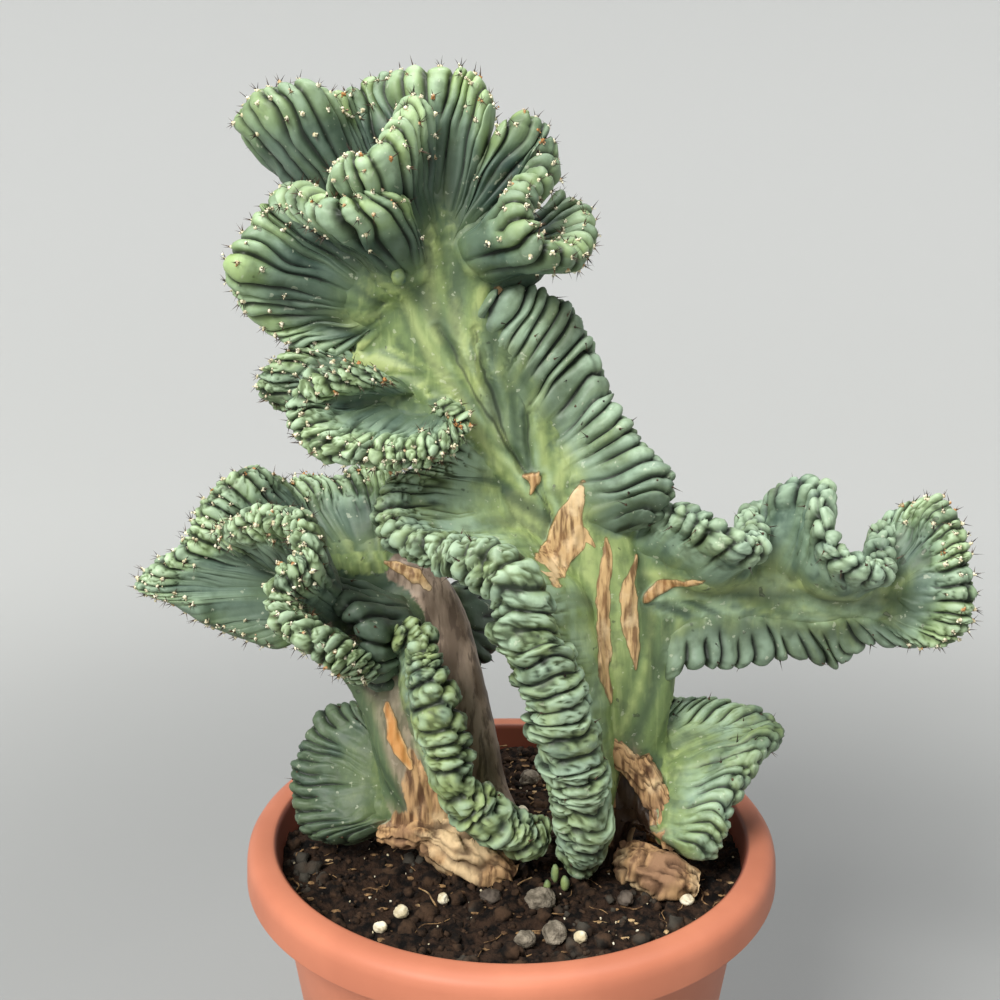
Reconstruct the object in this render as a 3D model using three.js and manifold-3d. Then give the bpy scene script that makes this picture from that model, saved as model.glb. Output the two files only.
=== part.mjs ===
// A crested myrtillocactus in a plastic pot.
// Units are millimetres, +Z is up, and the plant's front faces -Y.
// The origin is the centre of the pot's base.

import * as THREE from 'three';
import { mergeVertices } from 'three/addons/utils/BufferGeometryUtils.js';
import Module from 'manifold-3d';

const wasm = await Module();
wasm.setup();

// Pot
const POT_HEIGHT = 155;
const RIM_RADIUS = 90;
const BASE_RADIUS = 59;
const WALL = 1.6;
const WALL_SLOPE = 0.147;
const SKIRT_BOTTOM = 143;
const BASE_RECESS = 2;
const BASE_PLATE = 2.2;
const BASE_PAD_RADIUS = 16;
const FOOT_WIDTH = 6;
const DRAIN_HOLES = 8;
const DRAIN_RADIUS = 4.5;
const DRAIN_CIRCLE = 36;
const DRAIN_SIDES = 10;
const ROUND_SIDES = 48;

// Soil
const GAP = 0.35;
const SOIL_LEVEL = 145.2;
const SOIL_RINGS = [12, 24, 36, 48, 60, 69];
const SOIL_LUMP = 0.55;
const STONE_CORNER = 0.22;
const STONE_LIFT = 0.3;

// Cactus
const STEM_BOTTOM = 116;
const STEM_SIDES = 10;
const RIB_PITCH = 8.6;
const RIB_RELIEF = 1.3;
const ROOT_HALF = 3.6;
const LIP_WIDTH = 0.78;
const LIP_RISE = 0.45;
const TOP_RISE = 0.8;
const END_TAPER = [0.55, 0.85];
const LEAST_STEP = 0.3;
const THINNING = 0.95;
const THINNING_PASSES = 30;
const CALM_COLUMNS = 10;
const FINEST = 0.02;
const NEEDLE_PASSES = 4;
const JOIN_DETAIL = 0.45;
const SPINE_LENGTH = 3;
const SPINE_RADIUS = 0.5;
const SPINE_SUNK = 1.2;
const SPINE_LEAN = 0.35;
const SPINE_SPREAD = 0.9;
const YOUNG_SPINE_STEP = 4;
const OLD_SPINE_STEP = 8;

const COLOURS = {
  pot: 0xc9734f,
  soil: 0x2c211b,
  cactus: 0x7d9e80,
  pumice: 0xb9a896,
  perlite: 0xe2ddd0,
  pebble: 0x6a5b50,
};

// Stems: centre line, half width across the front and half depth at each point.
const STEMS = {
  main: {
    path: [[29, -10, STEM_BOTTOM], [30, -8, 144], [32, -4, 168], [34, -2, 193], [33, 0, 217],
      [26, 0, 238], [15, 2, 259], [3, 2, 278], [-8, 2, 298], [-18, 2, 320], [-23, 2, 350]],
    wide: [9, 12, 15, 19, 23, 24, 21, 18, 17, 19, 15],
    deep: [8, 10, 10, 10, 10, 10, 10, 9, 9, 8, 7],
    planted: true,
  },
  grey: {
    path: [[-2, -6, STEM_BOTTOM], [-1, -4, 151], [-7, 4, 164], [-11, 8, 185], [-16, 11, 206],
      [-21, 14, 224], [-28, 14, 236], [-40, 14, 242]],
    wide: [5, 6.5, 6.5, 6, 6, 6, 6, 5],
    deep: [5, 6.5, 6, 6, 6, 6, 6, 5],
    planted: true,
  },
  left: {
    path: [[-12, -18, STEM_BOTTOM], [-14, -16, 144], [-24, -13, 154], [-30, -13, 169],
      [-36, -12, 184], [-40, -9, 198], [-45, -6, 208], [-53, -3, 218], [-58, 0, 228]],
    wide: [6, 7, 8, 9, 9, 9, 9, 9, 7],
    deep: [6, 7, 7, 7, 7, 7, 6, 6, 5],
    planted: true,
  },
  arm: {
    path: [[30, 0, 236], [53, 2, 236], [76, 3, 235], [99, 0, 236], [120, -4, 236]],
    wide: [10, 9, 8, 8, 6],
    deep: [8, 7, 6, 6, 5],
  },
  leftLimb: {
    path: [[-15, 2, 308], [-35, 4, 310], [-54, 7, 309]],
    wide: [14, 11, 6],
    deep: [7, 6, 4],
  },
  leftShoulder: {
    path: [[-20, 2, 340], [-34, 4, 328], [-47, 6, 317]],
    wide: [13, 13, 10],
    deep: [5.5, 5, 4.5],
  },
  foot: {
    path: [[36, -2, 192], [43, -8, 174], [47, -15, 164], [49, -20, 157]],
    wide: [8, 8, 7, 6],
    deep: [7, 6, 6, 5],
  },
  saddle: {
    path: [[-8, -13, 155], [4, -13, 153.5], [16, -12, 153.5], [28, -10, 156]],
    wide: [5, 4.5, 4.5, 5],
    deep: [4, 4, 4, 4],
  },
  stub: {
    path: [[-27, -13, 164], [-36, -12, 159], [-44, -12, 157]],
    wide: [5, 5, 4],
    deep: [5, 5, 4],
  },
};

// Crests: a blade runs from its root line on a stem out to its crest line.
const CRESTS = {
  frontFold: {
    root: [[-4, 2, 281], [9, 2, 260], [26, -1, 231], [32, -4, 190], [30, -10, 154]],
    crest: [[-21, -4, 292], [-24, -8, 283], [-36, -16, 278], [-38, -24, 269], [-31, -32, 262],
      [-16, -38, 260], [-2, -42, 253], [3, -42, 237], [10, -40, 219], [15, -38, 201],
      [19, -36, 184], [22, -31, 168], [22, -25, 159]],
    half: [4.5, 5, 5.5, 6.5, 9, 10.5, 11, 10.5, 8.5],
  },
  rightRuffle: {
    root: [[-16, 2, 316], [5, 3, 283], [28, 0, 255]],
    crest: [[-11, -2, 333], [0, 0, 334], [11, 2, 332], [20, 3, 323], [26, 3, 311],
      [30, 1, 299], [37, -4, 289], [45, -10, 281], [47, -14, 274], [40, -14, 264]],
    half: [4.5, 5, 6, 6],
  },
  armNear: {
    root: [[36, 2, 248], [65, 2, 236], [86, 3, 235]],
    crest: [[46, 0, 265], [54, -14, 268], [62, -24, 264], [71, -28, 260], [77, -16, 260],
      [78, 0, 261], [82, 12, 262], [88, 12, 264]],
    half: [5, 5],
  },
  armFar: {
    root: [[79, 4, 234], [103, -1, 236], [121, -2, 236]],
    crest: [[87, 10, 265], [90, 0, 272], [97, -9, 274], [96, -19, 267], [97, -27, 260],
      [105, -30, 255], [113, -24, 252], [118, -11, 255], [122, 2, 259], [129, 6, 263]],
    half: [5, 5, 4.5],
  },
  armEnd: {
    root: [[115, -2, 237], [123, -5, 238], [117, -3, 232]],
    crest: [[128, 6, 263], [137, 2, 266], [142, -6, 259], [143, -12, 247], [143, -14, 234],
      [138, -12, 225], [130, -6, 223]],
    half: [4.5, 5.5, 5],
    young: true,
  },
  armLower: {
    root: [[118, -2, 234], [94, 1, 233], [64, 2, 232], [40, 2, 220]],
    crest: [[132, -6, 222], [118, 0, 221], [110, 4, 212], [93, 2, 216], [76, 0, 213],
      [61, -4, 215], [52, -4, 211], [49, -2, 203]],
    half: [4.5, 4],
  },
  rightFan: {
    root: [[44, 2, 182], [46, -9, 173], [47, -20, 160]],
    crest: [[49, 8, 194], [66, 12, 193], [81, 8, 191], [89, -2, 189], [81, -13, 187],
      [74, -20, 180], [68, -26, 172], [64, -30, 164], [57, -31, 157]],
    half: [4.5, 5, 6, 7],
  },
  crownRight: {
    root: [[-21, 2, 344], [-14, 2, 344], [-11, 6, 341]],
    crest: [[-6, -2, 382], [3, -2, 385], [10, 0, 379], [9, -6, 369], [3, -16, 364],
      [2, -24, 356], [9, -25, 348], [17, -15, 346], [22, -2, 350], [22, 10, 358],
      [14, 18, 365]],
    half: [5, 5, 4.5, 4.5],
    young: true,
  },
  crownTop: {
    root: [[-19, 2, 344], [-24, 2, 346], [-31, 4, 344]],
    crest: [[-6, 0, 383], [-9, 2, 393], [-15, 4, 398], [-24, 4, 399], [-33, 8, 398],
      [-43, 14, 397], [-52, 14, 393]],
    half: [5, 5],
    young: true,
  },
  crownLeft: {
    root: [[-30, 4, 344], [-36, 3, 340], [-40, 5, 332]],
    crest: [[-51, 14, 393], [-56, 6, 391], [-60, -5, 393], [-67, -8, 393], [-75, -2, 391],
      [-80, 9, 387], [-76, 20, 381]],
    half: [5, 5.5],
    young: true,
  },
  crownRidge: {
    root: [[-27, 0, 348], [-30, 0, 347], [-33, 0, 343]],
    crest: [[-24, -8, 388], [-29, -14, 387], [-33, -22, 379], [-40, -28, 373],
      [-49, -25, 370], [-51, -16, 366]],
    half: [5, 5],
    young: true,
  },
  leftUpper: {
    root: [[-27, 0, 342], [-34, 0, 337], [-44, 3, 332], [-40, 4, 328]],
    crest: [[-32, -14, 363], [-40, -26, 361], [-50, -27, 358], [-58, -16, 361],
      [-67, -5, 364], [-74, -2, 359], [-79, -8, 351], [-83, -11, 343], [-82, -4, 334],
      [-76, 3, 326], [-64, 6, 319], [-53, 8, 316]],
    half: [5, 5.5, 5],
    young: true,
  },
  leftBack: {
    root: [[-44, 6, 310], [-48, 7, 309], [-44, 8, 306]],
    crest: [[-51, 8, 318], [-64, 6, 317], [-75, 4, 312], [-79, 6, 304], [-73, 11, 298],
      [-64, 15, 297]],
    half: [4.5, 5],
    young: true,
  },
  leftBowl: {
    root: [[-30, -3, 304], [-34, -4, 303], [-22, 0, 298], [-21, -1, 299]],
    crest: [[-40, -16, 312], [-50, -23, 312], [-60, -24, 309], [-64, -25, 301],
      [-58, -29, 293], [-46, -33, 290], [-34, -33, 289], [-22, -29, 290], [-16, -20, 295],
      [-24, -11, 302]],
    half: [5, 5, 4],
    young: true,
  },
  wingBack: {
    root: [[-39, 14, 242], [-51, 10, 241], [-61, 6, 239], [-66, 3, 236], [-62, 2, 230]],
    crest: [[-37, 22, 274], [-48, 26, 273], [-60, 28, 269], [-71, 26, 269], [-79, 20, 267],
      [-84, 12, 274], [-89, 3, 275], [-97, 0, 267], [-102, -3, 257], [-111, -6, 250],
      [-118, -9, 242], [-107, -7, 236], [-97, -5, 229], [-86, -4, 224], [-74, -2, 219]],
    half: [4.5, 5, 4.5],
    young: true,
  },
  wingFront: {
    root: [[-59, 3, 237], [-54, 0, 226], [-51, -2, 218], [-50, -3, 213]],
    crest: [[-96, -6, 258], [-86, -16, 264], [-75, -22, 269], [-64, -27, 267],
      [-62, -32, 258], [-70, -35, 249], [-68, -36, 241], [-57, -35, 232], [-49, -28, 223],
      [-47, -16, 212]],
    half: [4.5, 5.5, 5.5],
  },
  wingInner: {
    root: [[-30, 10, 229], [-31, 7, 225], [-35, 0, 214]],
    crest: [[-62, -8, 246], [-57, -14, 241], [-50, -20, 237], [-46, -20, 230],
      [-44, -16, 220], [-43, -8, 207]],
    half: [4.5, 5],
  },
  leftStrip: {
    root: [[-37, 0, 217], [-36, -4, 196], [-24, -8, 172], [10, -9, 156]],
    crest: [[-39, -16, 229], [-28, -23, 231], [-26, -28, 222], [-22, -30, 210],
      [-19, -32, 198], [-18, -32, 186], [-11, -31, 176], [-1, -30, 168], [7, -26, 162],
      [12, -20, 158]],
    half: [5, 6, 8.5, 8.5, 8, 7],
  },
  darkLobe: {
    root: [[-25, 18, 232], [-22, 18, 222], [-21, 18, 214]],
    crest: [[-18, 32, 233], [-11, 37, 223], [-8, 37, 211], [-11, 34, 203], [-18, 28, 200]],
    half: [5, 5],
  },
  leftFan: {
    root: [[-40, -6, 180], [-38, -9, 172], [-36, -12, 162]],
    crest: [[-46, 6, 191], [-55, 10, 192], [-64, 10, 188], [-70, 6, 179], [-72, 0, 170],
      [-71, -7, 162], [-65, -13, 156.5], [-52, -16, 155.5]],
    half: [4.5, 5, 5.5],
  },
};

// Stones on the soil: kind, place, size along three axes and turn about Z.
const STONES = [
  ['pumice', 8.8, -38.2, [12, 10, 9], 0.3],
  ['pumice', 12.8, -55.2, [11, 8, 7], 1.2],
  ['pumice', 3.7, -57.7, [8, 7, 6], 2.1],
  ['pebble', -7, -33.5, [9, 7, 5], 0.7],
  ['perlite', -34.7, -43.1, [6, 5, 4.6], 0.2],
  ['perlite', 20.2, -56.7, [5.4, 5, 4.4], 1.1],
  ['perlite', -40.5, -50.6, [5, 4.6, 4], 2.6],
  ['perlite', -22, -36, [5, 4.4, 4], 1.7],
  ['perlite', 55.7, -35.6, [5.6, 5, 4.4], 0.5],
  ['pebble', 36, -36, [8, 6, 5], 1.9],
  ['pebble', 58, 3, [8, 7, 5], 0.4],
  ['pumice', 7.9, 47.7, [10, 9, 7], 0.9],
  ['perlite', 4.6, 22.1, [5.2, 4.8, 4.4], 2.2],
  ['pebble', -32, 34, [9, 7, 5.4], 1.4],
  ['pumice', 44, 38, [9, 8, 6.5], 2.8],
  ['perlite', -56, 20, [5.4, 5, 4.4], 0.8],
];

const vec = (p) => new THREE.Vector3(...p);

// A repeatable random number between 0 and 1.
function makeRandom(seed) {
  let state = seed;
  return () => {
    state = (state * 1664525 + 1013904223) % 4294967296;
    return state / 4294967296;
  };
}

function closedGeometry(points, triangles) {
  const geometry = new THREE.BufferGeometry();
  const numbers = points.flatMap((point) => point.toArray());
  geometry.setAttribute('position', new THREE.Float32BufferAttribute(numbers, 3));
  geometry.setIndex(triangles.flat());
  return geometry;
}

function solidOf(geometry) {
  const bare = new THREE.BufferGeometry();
  bare.setAttribute('position', geometry.getAttribute('position').clone());
  if (geometry.index) bare.setIndex(geometry.index.clone());
  const merged = mergeVertices(bare, 1e-4);
  return new wasm.Manifold(new wasm.Mesh({
    numProp: 3,
    vertProperties: new Float32Array(merged.getAttribute('position').array),
    triVerts: new Uint32Array(merged.index.array),
  }));
}

function geometryOf(solid) {
  const mesh = solid.getMesh();
  const geometry = new THREE.BufferGeometry();
  geometry.setAttribute('position', new THREE.BufferAttribute(mesh.vertProperties, 3));
  geometry.setIndex(new THREE.BufferAttribute(mesh.triVerts, 1));
  return geometry;
}

function joinAll(solids) {
  return solids.reduce((whole, piece) => whole.add(piece));
}

// The points and triangles of a solid, for work on single triangles.
function meshOf(solid) {
  const { vertProperties, triVerts } = solid.getMesh();
  const points = [];
  for (let i = 0; i < vertProperties.length; i += 3) {
    points.push(new THREE.Vector3().fromArray(vertProperties, i));
  }
  const triangles = [];
  for (let i = 0; i < triVerts.length; i += 3) triangles.push([...triVerts.slice(i, i + 3)]);
  const around = points.map(() => new Set());
  triangles.forEach((corners, i) => corners.forEach((p) => around[p].add(i)));
  return { points, triangles, around };
}

function normalOf(a, b, c) {
  return b.clone().sub(a).cross(c.clone().sub(a));
}

function neighboursOf({ triangles, around }, p) {
  return new Set([...around[p]].flatMap((i) => triangles[i]).filter((q) => q !== p));
}

// Draws edge a-b together into its middle, unless that would fold or pinch the surface.
function collapseEdge(mesh, a, b) {
  const { points, triangles, around } = mesh;
  const nearB = neighboursOf(mesh, b);
  const shared = [...neighboursOf(mesh, a)].filter((p) => nearB.has(p));
  if (shared.length !== 2) return false;
  const goal = points[a].clone().lerp(points[b], 0.5);
  const length = points[a].distanceTo(points[b]);
  const gone = [...around[a]].filter((i) => around[b].has(i));
  const kept = [...around[a], ...around[b]].filter((i) => !gone.includes(i));
  const folds = kept.some((i) => {
    const before = triangles[i].map((p) => points[p]);
    const after = triangles[i].map((p) => (p === a || p === b ? goal : points[p]));
    return normalOf(...before).dot(normalOf(...after)) <= 0 && length > FINEST;
  });
  if (folds) return false;
  points[a].copy(goal);
  around[b].forEach((i) => {
    triangles[i] = triangles[i].map((p) => (p === b ? a : p));
    around[a].add(i);
  });
  gone.forEach((i) => {
    triangles[i].forEach((p) => around[p].delete(i));
    triangles[i] = null;
  });
  around[b].clear();
  return true;
}

// Turns the long edge a-b of a flat triangle so that it ends at the near corner c.
function flipEdge(mesh, flat, a, b, c) {
  const { triangles, around } = mesh;
  const other = [...around[a]].find((i) => i !== flat && around[b].has(i));
  const d = triangles[other].find((p) => p !== a && p !== b);
  if (d === c || neighboursOf(mesh, c).has(d)) return;
  triangles[flat] = [c, a, d];
  triangles[other] = [c, d, b];
  around[b].delete(flat);
  around[a].delete(other);
  around[d].add(flat);
  around[c].add(other);
}

// Clears away the needles that joining leaves between crossing surfaces.
function withoutNeedles(solid, shortest) {
  const mesh = meshOf(solid);
  const { points, triangles } = mesh;
  for (let pass = 0; pass < NEEDLE_PASSES; pass += 1) {
    for (let i = 0; i < triangles.length; i += 1) {
      for (let k = 0; k < 3 && triangles[i]; k += 1) {
        const a = triangles[i][k];
        const b = triangles[i][(k + 1) % 3];
        if (points[a].distanceTo(points[b]) < shortest) collapseEdge(mesh, a, b);
      }
      if (!triangles[i]) continue;
      const corners = triangles[i].map((p) => points[p]);
      const edges = corners.map((corner, k) => corner.distanceTo(corners[(k + 1) % 3]));
      const longest = Math.max(...edges);
      const height = normalOf(...corners).length() / longest;
      if (height < FINEST) {
        const k = edges.indexOf(longest);
        flipEdge(mesh, i, triangles[i][k], triangles[i][(k + 1) % 3], triangles[i][(k + 2) % 3]);
      }
    }
  }
  return solidOf(closedGeometry(points, triangles.filter(Boolean)));
}

// Keeps the one outer body, without loose scraps or sealed hollows.
function mainBody(solid) {
  const bodies = solid.decompose();
  return bodies.reduce((best, body) => (body.volume() > best.volume() ? body : best));
}

// A profile of [radius, height] turned about Z.
function turned(profile) {
  const points = profile.map(([radius, height]) => new THREE.Vector2(radius, height));
  return new THREE.LatheGeometry(points, ROUND_SIDES).rotateX(Math.PI / 2);
}

const wallOutside = (z) => BASE_RADIUS + WALL_SLOPE * z;
const wallInside = (z) => wallOutside(z) - WALL;

function potGeometry() {
  const floor = BASE_RECESS + BASE_PLATE;
  const rimInside = wallInside(POT_HEIGHT - 2);
  const foot = BASE_RADIUS - FOOT_WIDTH;
  const profile = [
    [0, 0],
    [BASE_PAD_RADIUS, 0],
    [BASE_PAD_RADIUS + 1, BASE_RECESS],
    [foot - 1, BASE_RECESS],
    [foot, 0],
    [BASE_RADIUS - 1, 0],
    [wallOutside(1.2), 1.2],
    [wallOutside(SKIRT_BOTTOM + 7), SKIRT_BOTTOM + 7],
    [wallOutside(SKIRT_BOTTOM + 7) + 1.2, POT_HEIGHT - WALL - 0.4],
    [RIM_RADIUS - 4, POT_HEIGHT - WALL - 0.8],
    [RIM_RADIUS - WALL - 0.7, SKIRT_BOTTOM + 6],
    [RIM_RADIUS - WALL, SKIRT_BOTTOM],
    [RIM_RADIUS, SKIRT_BOTTOM],
    [RIM_RADIUS - 0.7, POT_HEIGHT - 4],
    [RIM_RADIUS - 2, POT_HEIGHT - 1.2],
    [RIM_RADIUS - 4.5, POT_HEIGHT],
    [rimInside + 2, POT_HEIGHT],
    [rimInside + 0.3, POT_HEIGHT - 0.8],
    [rimInside, POT_HEIGHT - 2],
    [wallInside(floor + 2), floor + 2],
    [wallInside(floor) - 2, floor],
    [0, floor],
  ];
  const drains = [];
  for (let i = 0; i < DRAIN_HOLES; i += 1) {
    const angle = (i * 2 * Math.PI) / DRAIN_HOLES;
    const drain = new THREE.CylinderGeometry(DRAIN_RADIUS, DRAIN_RADIUS, 3 * floor, DRAIN_SIDES);
    drain.rotateX(Math.PI / 2);
    drain.translate(DRAIN_CIRCLE * Math.cos(angle), DRAIN_CIRCLE * Math.sin(angle), floor / 2);
    drains.push(solidOf(drain));
  }
  return geometryOf(solidOf(turned(profile)).subtract(joinAll(drains)));
}

// Height of the soil's surface, lower than the rim and slightly lumpy.
function soilTop(x, y) {
  const lumps = Math.sin(x * 0.23 + 1) * Math.cos(y * 0.19) + 0.7 * Math.sin(x * 0.11 - y * 0.31);
  return SOIL_LEVEL + SOIL_LUMP * lumps;
}

function soilGeometry(holes) {
  const floor = BASE_RECESS + BASE_PLATE + GAP;
  const edge = wallInside(SOIL_LEVEL) - GAP;
  const profile = [
    [0, floor],
    [wallInside(floor) - 2.4 - GAP, floor],
    [wallInside(floor + 3) - GAP, floor + 3],
    [edge, SOIL_LEVEL],
    ...SOIL_RINGS.toReversed().map((radius) => [radius, SOIL_LEVEL]),
    [0, SOIL_LEVEL],
  ];
  const geometry = turned(profile);
  const position = geometry.getAttribute('position');
  for (let i = 0; i < position.count; i += 1) {
    const inside = Math.hypot(position.getX(i), position.getY(i)) < edge - 1;
    if (inside && position.getZ(i) > SOIL_LEVEL - 1) {
      position.setZ(i, soilTop(position.getX(i), position.getY(i)));
    }
  }
  return geometryOf(solidOf(geometry).subtract(joinAll(holes)));
}

// An irregular stone: a ball whose corners are pushed in and out at random.
function stoneGeometry([, x, y, size, turn], seed, extra) {
  const random = makeRandom(seed);
  const bare = new THREE.IcosahedronGeometry(1, 1);
  bare.deleteAttribute('normal');
  bare.deleteAttribute('uv');
  const geometry = mergeVertices(bare, 1e-3);
  const position = geometry.getAttribute('position');
  for (let i = 0; i < position.count; i += 1) {
    const push = 1 - STONE_CORNER * random();
    const corner = new THREE.Vector3().fromBufferAttribute(position, i).multiplyScalar(push);
    position.setXYZ(i, corner.x, corner.y, corner.z);
  }
  geometry.scale(size[0] / 2 + extra, size[1] / 2 + extra, size[2] / 2 + extra);
  geometry.rotateZ(turn);
  geometry.translate(x, y, soilTop(x, y) + STONE_LIFT * size[2]);
  return geometry;
}

// A stem: elliptical rings along a smooth centre line.
function stemGeometry({ path, wide, deep }, extra) {
  const curve = new THREE.CatmullRomCurve3(path.map(vec));
  const sides = STEM_SIDES;
  const rings = path.length;
  const points = [];
  const triangles = [];
  for (let i = 0; i < rings; i += 1) {
    const t = i / (rings - 1);
    const centre = curve.getPoint(t);
    const along = curve.getTangent(t);
    const across = new THREE.Vector3(0, 1, 0).cross(along).normalize();
    const front = along.clone().cross(across);
    if (i === 0) centre.addScaledVector(along, -extra);
    for (let k = 0; k < sides; k += 1) {
      const angle = (k * 2 * Math.PI) / sides;
      points.push(centre.clone()
        .addScaledVector(across, (wide[i] + extra) * Math.cos(angle))
        .addScaledVector(front, (deep[i] + extra) * Math.sin(angle)));
    }
  }
  const last = (rings - 1) * sides;
  for (let k = 0; k < sides; k += 1) {
    const next = (k + 1) % sides;
    for (let i = 0; i < rings - 1; i += 1) {
      const a = i * sides;
      const b = a + sides;
      triangles.push([a + k, a + next, b + next], [a + k, b + next, b + k]);
    }
    if (k > 0 && next > 0) {
      triangles.push([0, next, k], [last, last + k, last + next]);
    }
  }
  return closedGeometry(points, triangles);
}

// A value read off a list of evenly spaced ones, at t from 0 to 1.
function between(values, t) {
  const place = t * (values.length - 1);
  const i = Math.min(Math.floor(place), values.length - 2);
  return THREE.MathUtils.lerp(values[i], values[i + 1], place - i);
}

// Places along a crest: one column for each rib's ridge and one for each furrow.
function crestColumns({ root, crest, half }) {
  const rootLine = new THREE.CatmullRomCurve3(root.map(vec));
  const crestLine = new THREE.CatmullRomCurve3(crest.map(vec));
  const ribs = Math.max(3, Math.round(crestLine.getLength() / RIB_PITCH));
  const columns = [];
  for (let j = 0; j <= 2 * ribs; j += 1) {
    const t = crestLine.getUtoTmapping(j / (2 * ribs));
    const tip = crestLine.getPoint(t);
    const foot = rootLine.getPoint(t);
    const out = tip.clone().sub(foot).normalize();
    const side = crestLine.getTangent(t).cross(out).normalize();
    const end = Math.min(j, 2 * ribs - j);
    const taper = END_TAPER[end] ?? 1;
    columns.push({ tip, foot, out, side, half: between(half, t) * taper, thin: 1, rootThin: 1 });
  }
  columns.forEach((column, j) => {
    const calm = new THREE.Vector3();
    for (let k = -CALM_COLUMNS; k <= CALM_COLUMNS; k += 1) {
      const near = columns[Math.min(Math.max(j + k, 0), columns.length - 1)];
      calm.addScaledVector(near.side, CALM_COLUMNS + 1 - Math.abs(k));
    }
    column.rootSide = calm.addScaledVector(column.out, -calm.dot(column.out)).normalize();
  });
  return columns;
}

// The outline of one column, from the root over the crest and back. A ridge on one face
// stands opposite a furrow on the other, so the crest's middle line runs in a zigzag.
function sectionPoints(column, j) {
  const { tip, foot, out, side, rootSide, half, thin, rootThin } = column;
  const shoulder = tip.clone().addScaledVector(out, -half);
  const shift = (j % 2 ? 1 : -1) * RIB_RELIEF * thin;
  const edge = half * thin;
  const put = (base, normal, distance, lift) => (
    base.clone().addScaledVector(normal, distance).addScaledVector(out, lift)
  );
  return [
    put(foot, rootSide, ROOT_HALF * rootThin, 0),
    put(shoulder, side, shift + edge, 0),
    put(tip, side, shift + LIP_WIDTH * edge, LIP_RISE * half + shift),
    put(tip, side, 0, TOP_RISE * half),
    put(tip, side, shift - LIP_WIDTH * edge, LIP_RISE * half - shift),
    put(shoulder, side, shift - edge, 0),
    put(foot, rootSide, -ROOT_HALF * rootThin, 0),
  ];
}

// Thins the blade where neighbouring columns would cross each other in a tight bend.
function uncrossed(columns) {
  for (let pass = 0; pass < THINNING_PASSES; pass += 1) {
    const sections = columns.map(sectionPoints);
    for (let j = 0; j < columns.length - 1; j += 1) {
      const pair = [columns[j], columns[j + 1]];
      const ahead = pair[1].tip.clone().sub(pair[0].tip).normalize();
      const steps = sections[j + 1].map((point, i) => point.clone().sub(sections[j][i]).dot(ahead));
      const rootStep = Math.min(steps.at(0), steps.at(-1));
      const crestStep = Math.min(...steps.slice(1, -1));
      if (crestStep < LEAST_STEP) pair.forEach((column) => { column.thin *= THINNING; });
      if (rootStep < 0) pair.forEach((column) => { column.rootThin *= THINNING; });
    }
  }
  return columns;
}

// The flesh between two neighbouring columns, split alike on both of its faces.
function bladeSolid(here, next) {
  const count = here.length;
  const middle = (count - 1) / 2;
  const triangles = [];
  for (let i = 0; i < count; i += 1) {
    const b = (i + 1) % count;
    if (i < middle) triangles.push([i, count + b, b], [i, count + i, count + b]);
    else triangles.push([i, count + i, b], [b, count + i, count + b]);
  }
  for (let i = 0; i < middle; i += 1) {
    const mirror = count - 1 - i;
    const caps = [[i, i + 1, mirror]];
    if (mirror - 1 > i + 1) caps.push([i + 1, mirror - 1, mirror]);
    caps.forEach(([a, b, c]) => {
      triangles.push([a, b, c], [count + a, count + c, count + b]);
    });
  }
  return solidOf(closedGeometry([...here, ...next], triangles));
}

// A blade is joined from its ribs one by one, so that it may fold over itself.
function crestSolids(columns) {
  const sections = columns.map(sectionPoints);
  return sections.slice(1).map((section, j) => bladeSolid(sections[j], section));
}

function spineSolid(base, direction) {
  const height = SPINE_LENGTH + SPINE_SUNK;
  const cone = new THREE.ConeGeometry(SPINE_RADIUS, height, 3);
  cone.translate(0, height / 2 - SPINE_SUNK, 0);
  cone.applyQuaternion(new THREE.Quaternion().setFromUnitVectors(new THREE.Vector3(0, 1, 0), direction));
  cone.translate(base.x, base.y, base.z);
  return solidOf(cone);
}

// Spines stand on the crest: on every other rib where it is young, on every fourth elsewhere.
function spineSolids(columns, young, random) {
  const spines = [];
  for (let j = 1; j < columns.length - 1; j += young ? YOUNG_SPINE_STEP : OLD_SPINE_STEP) {
    const { tip, out, side, half } = columns[j];
    const lean = SPINE_LEAN + SPINE_SPREAD * (random() - 0.5);
    const direction = out.clone().addScaledVector(side, lean).normalize();
    spines.push(spineSolid(tip.clone().addScaledVector(direction, TOP_RISE * half), direction));
  }
  return spines;
}

function cactusSolid() {
  const random = makeRandom(7);
  const flesh = Object.values(STEMS).map((stem) => solidOf(stemGeometry(stem, 0)));
  const spines = [];
  Object.values(CRESTS).forEach((crest) => {
    const columns = uncrossed(crestColumns(crest));
    flesh.push(...crestSolids(columns));
    spines.push(...spineSolids(columns, crest.young, random));
  });
  const body = withoutNeedles(mainBody(joinAll(flesh)), JOIN_DETAIL);
  return withoutNeedles(mainBody(joinAll([body, ...spines])), FINEST);
}

function namedMesh(name, geometry, colour, roughness) {
  geometry.computeVertexNormals();
  const material = new THREE.MeshStandardMaterial({ color: colour, roughness, metalness: 0 });
  const mesh = new THREE.Mesh(geometry, material);
  mesh.name = name;
  return mesh;
}

function stoneMeshes() {
  const counts = {};
  return STONES.map((stone, i) => {
    const kind = stone[0];
    counts[kind] = (counts[kind] ?? 0) + 1;
    return namedMesh(`${kind}_${counts[kind]}`, stoneGeometry(stone, i + 1, 0), COLOURS[kind], 0.95);
  });
}

function soilHoles() {
  const planted = Object.values(STEMS).filter((stem) => stem.planted);
  const holes = planted.map((stem) => solidOf(stemGeometry(stem, GAP)));
  const dimples = STONES.map((stone, i) => solidOf(stoneGeometry(stone, i + 1, GAP)));
  return [...holes, ...dimples];
}

const model = new THREE.Group();
model.add(namedMesh('pot', potGeometry(), COLOURS.pot, 0.5));
model.add(namedMesh('soil', soilGeometry(soilHoles()), COLOURS.soil, 1));
model.add(namedMesh('cactus', geometryOf(cactusSolid()), COLOURS.cactus, 0.55));
model.add(...stoneMeshes());

export default model;
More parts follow.
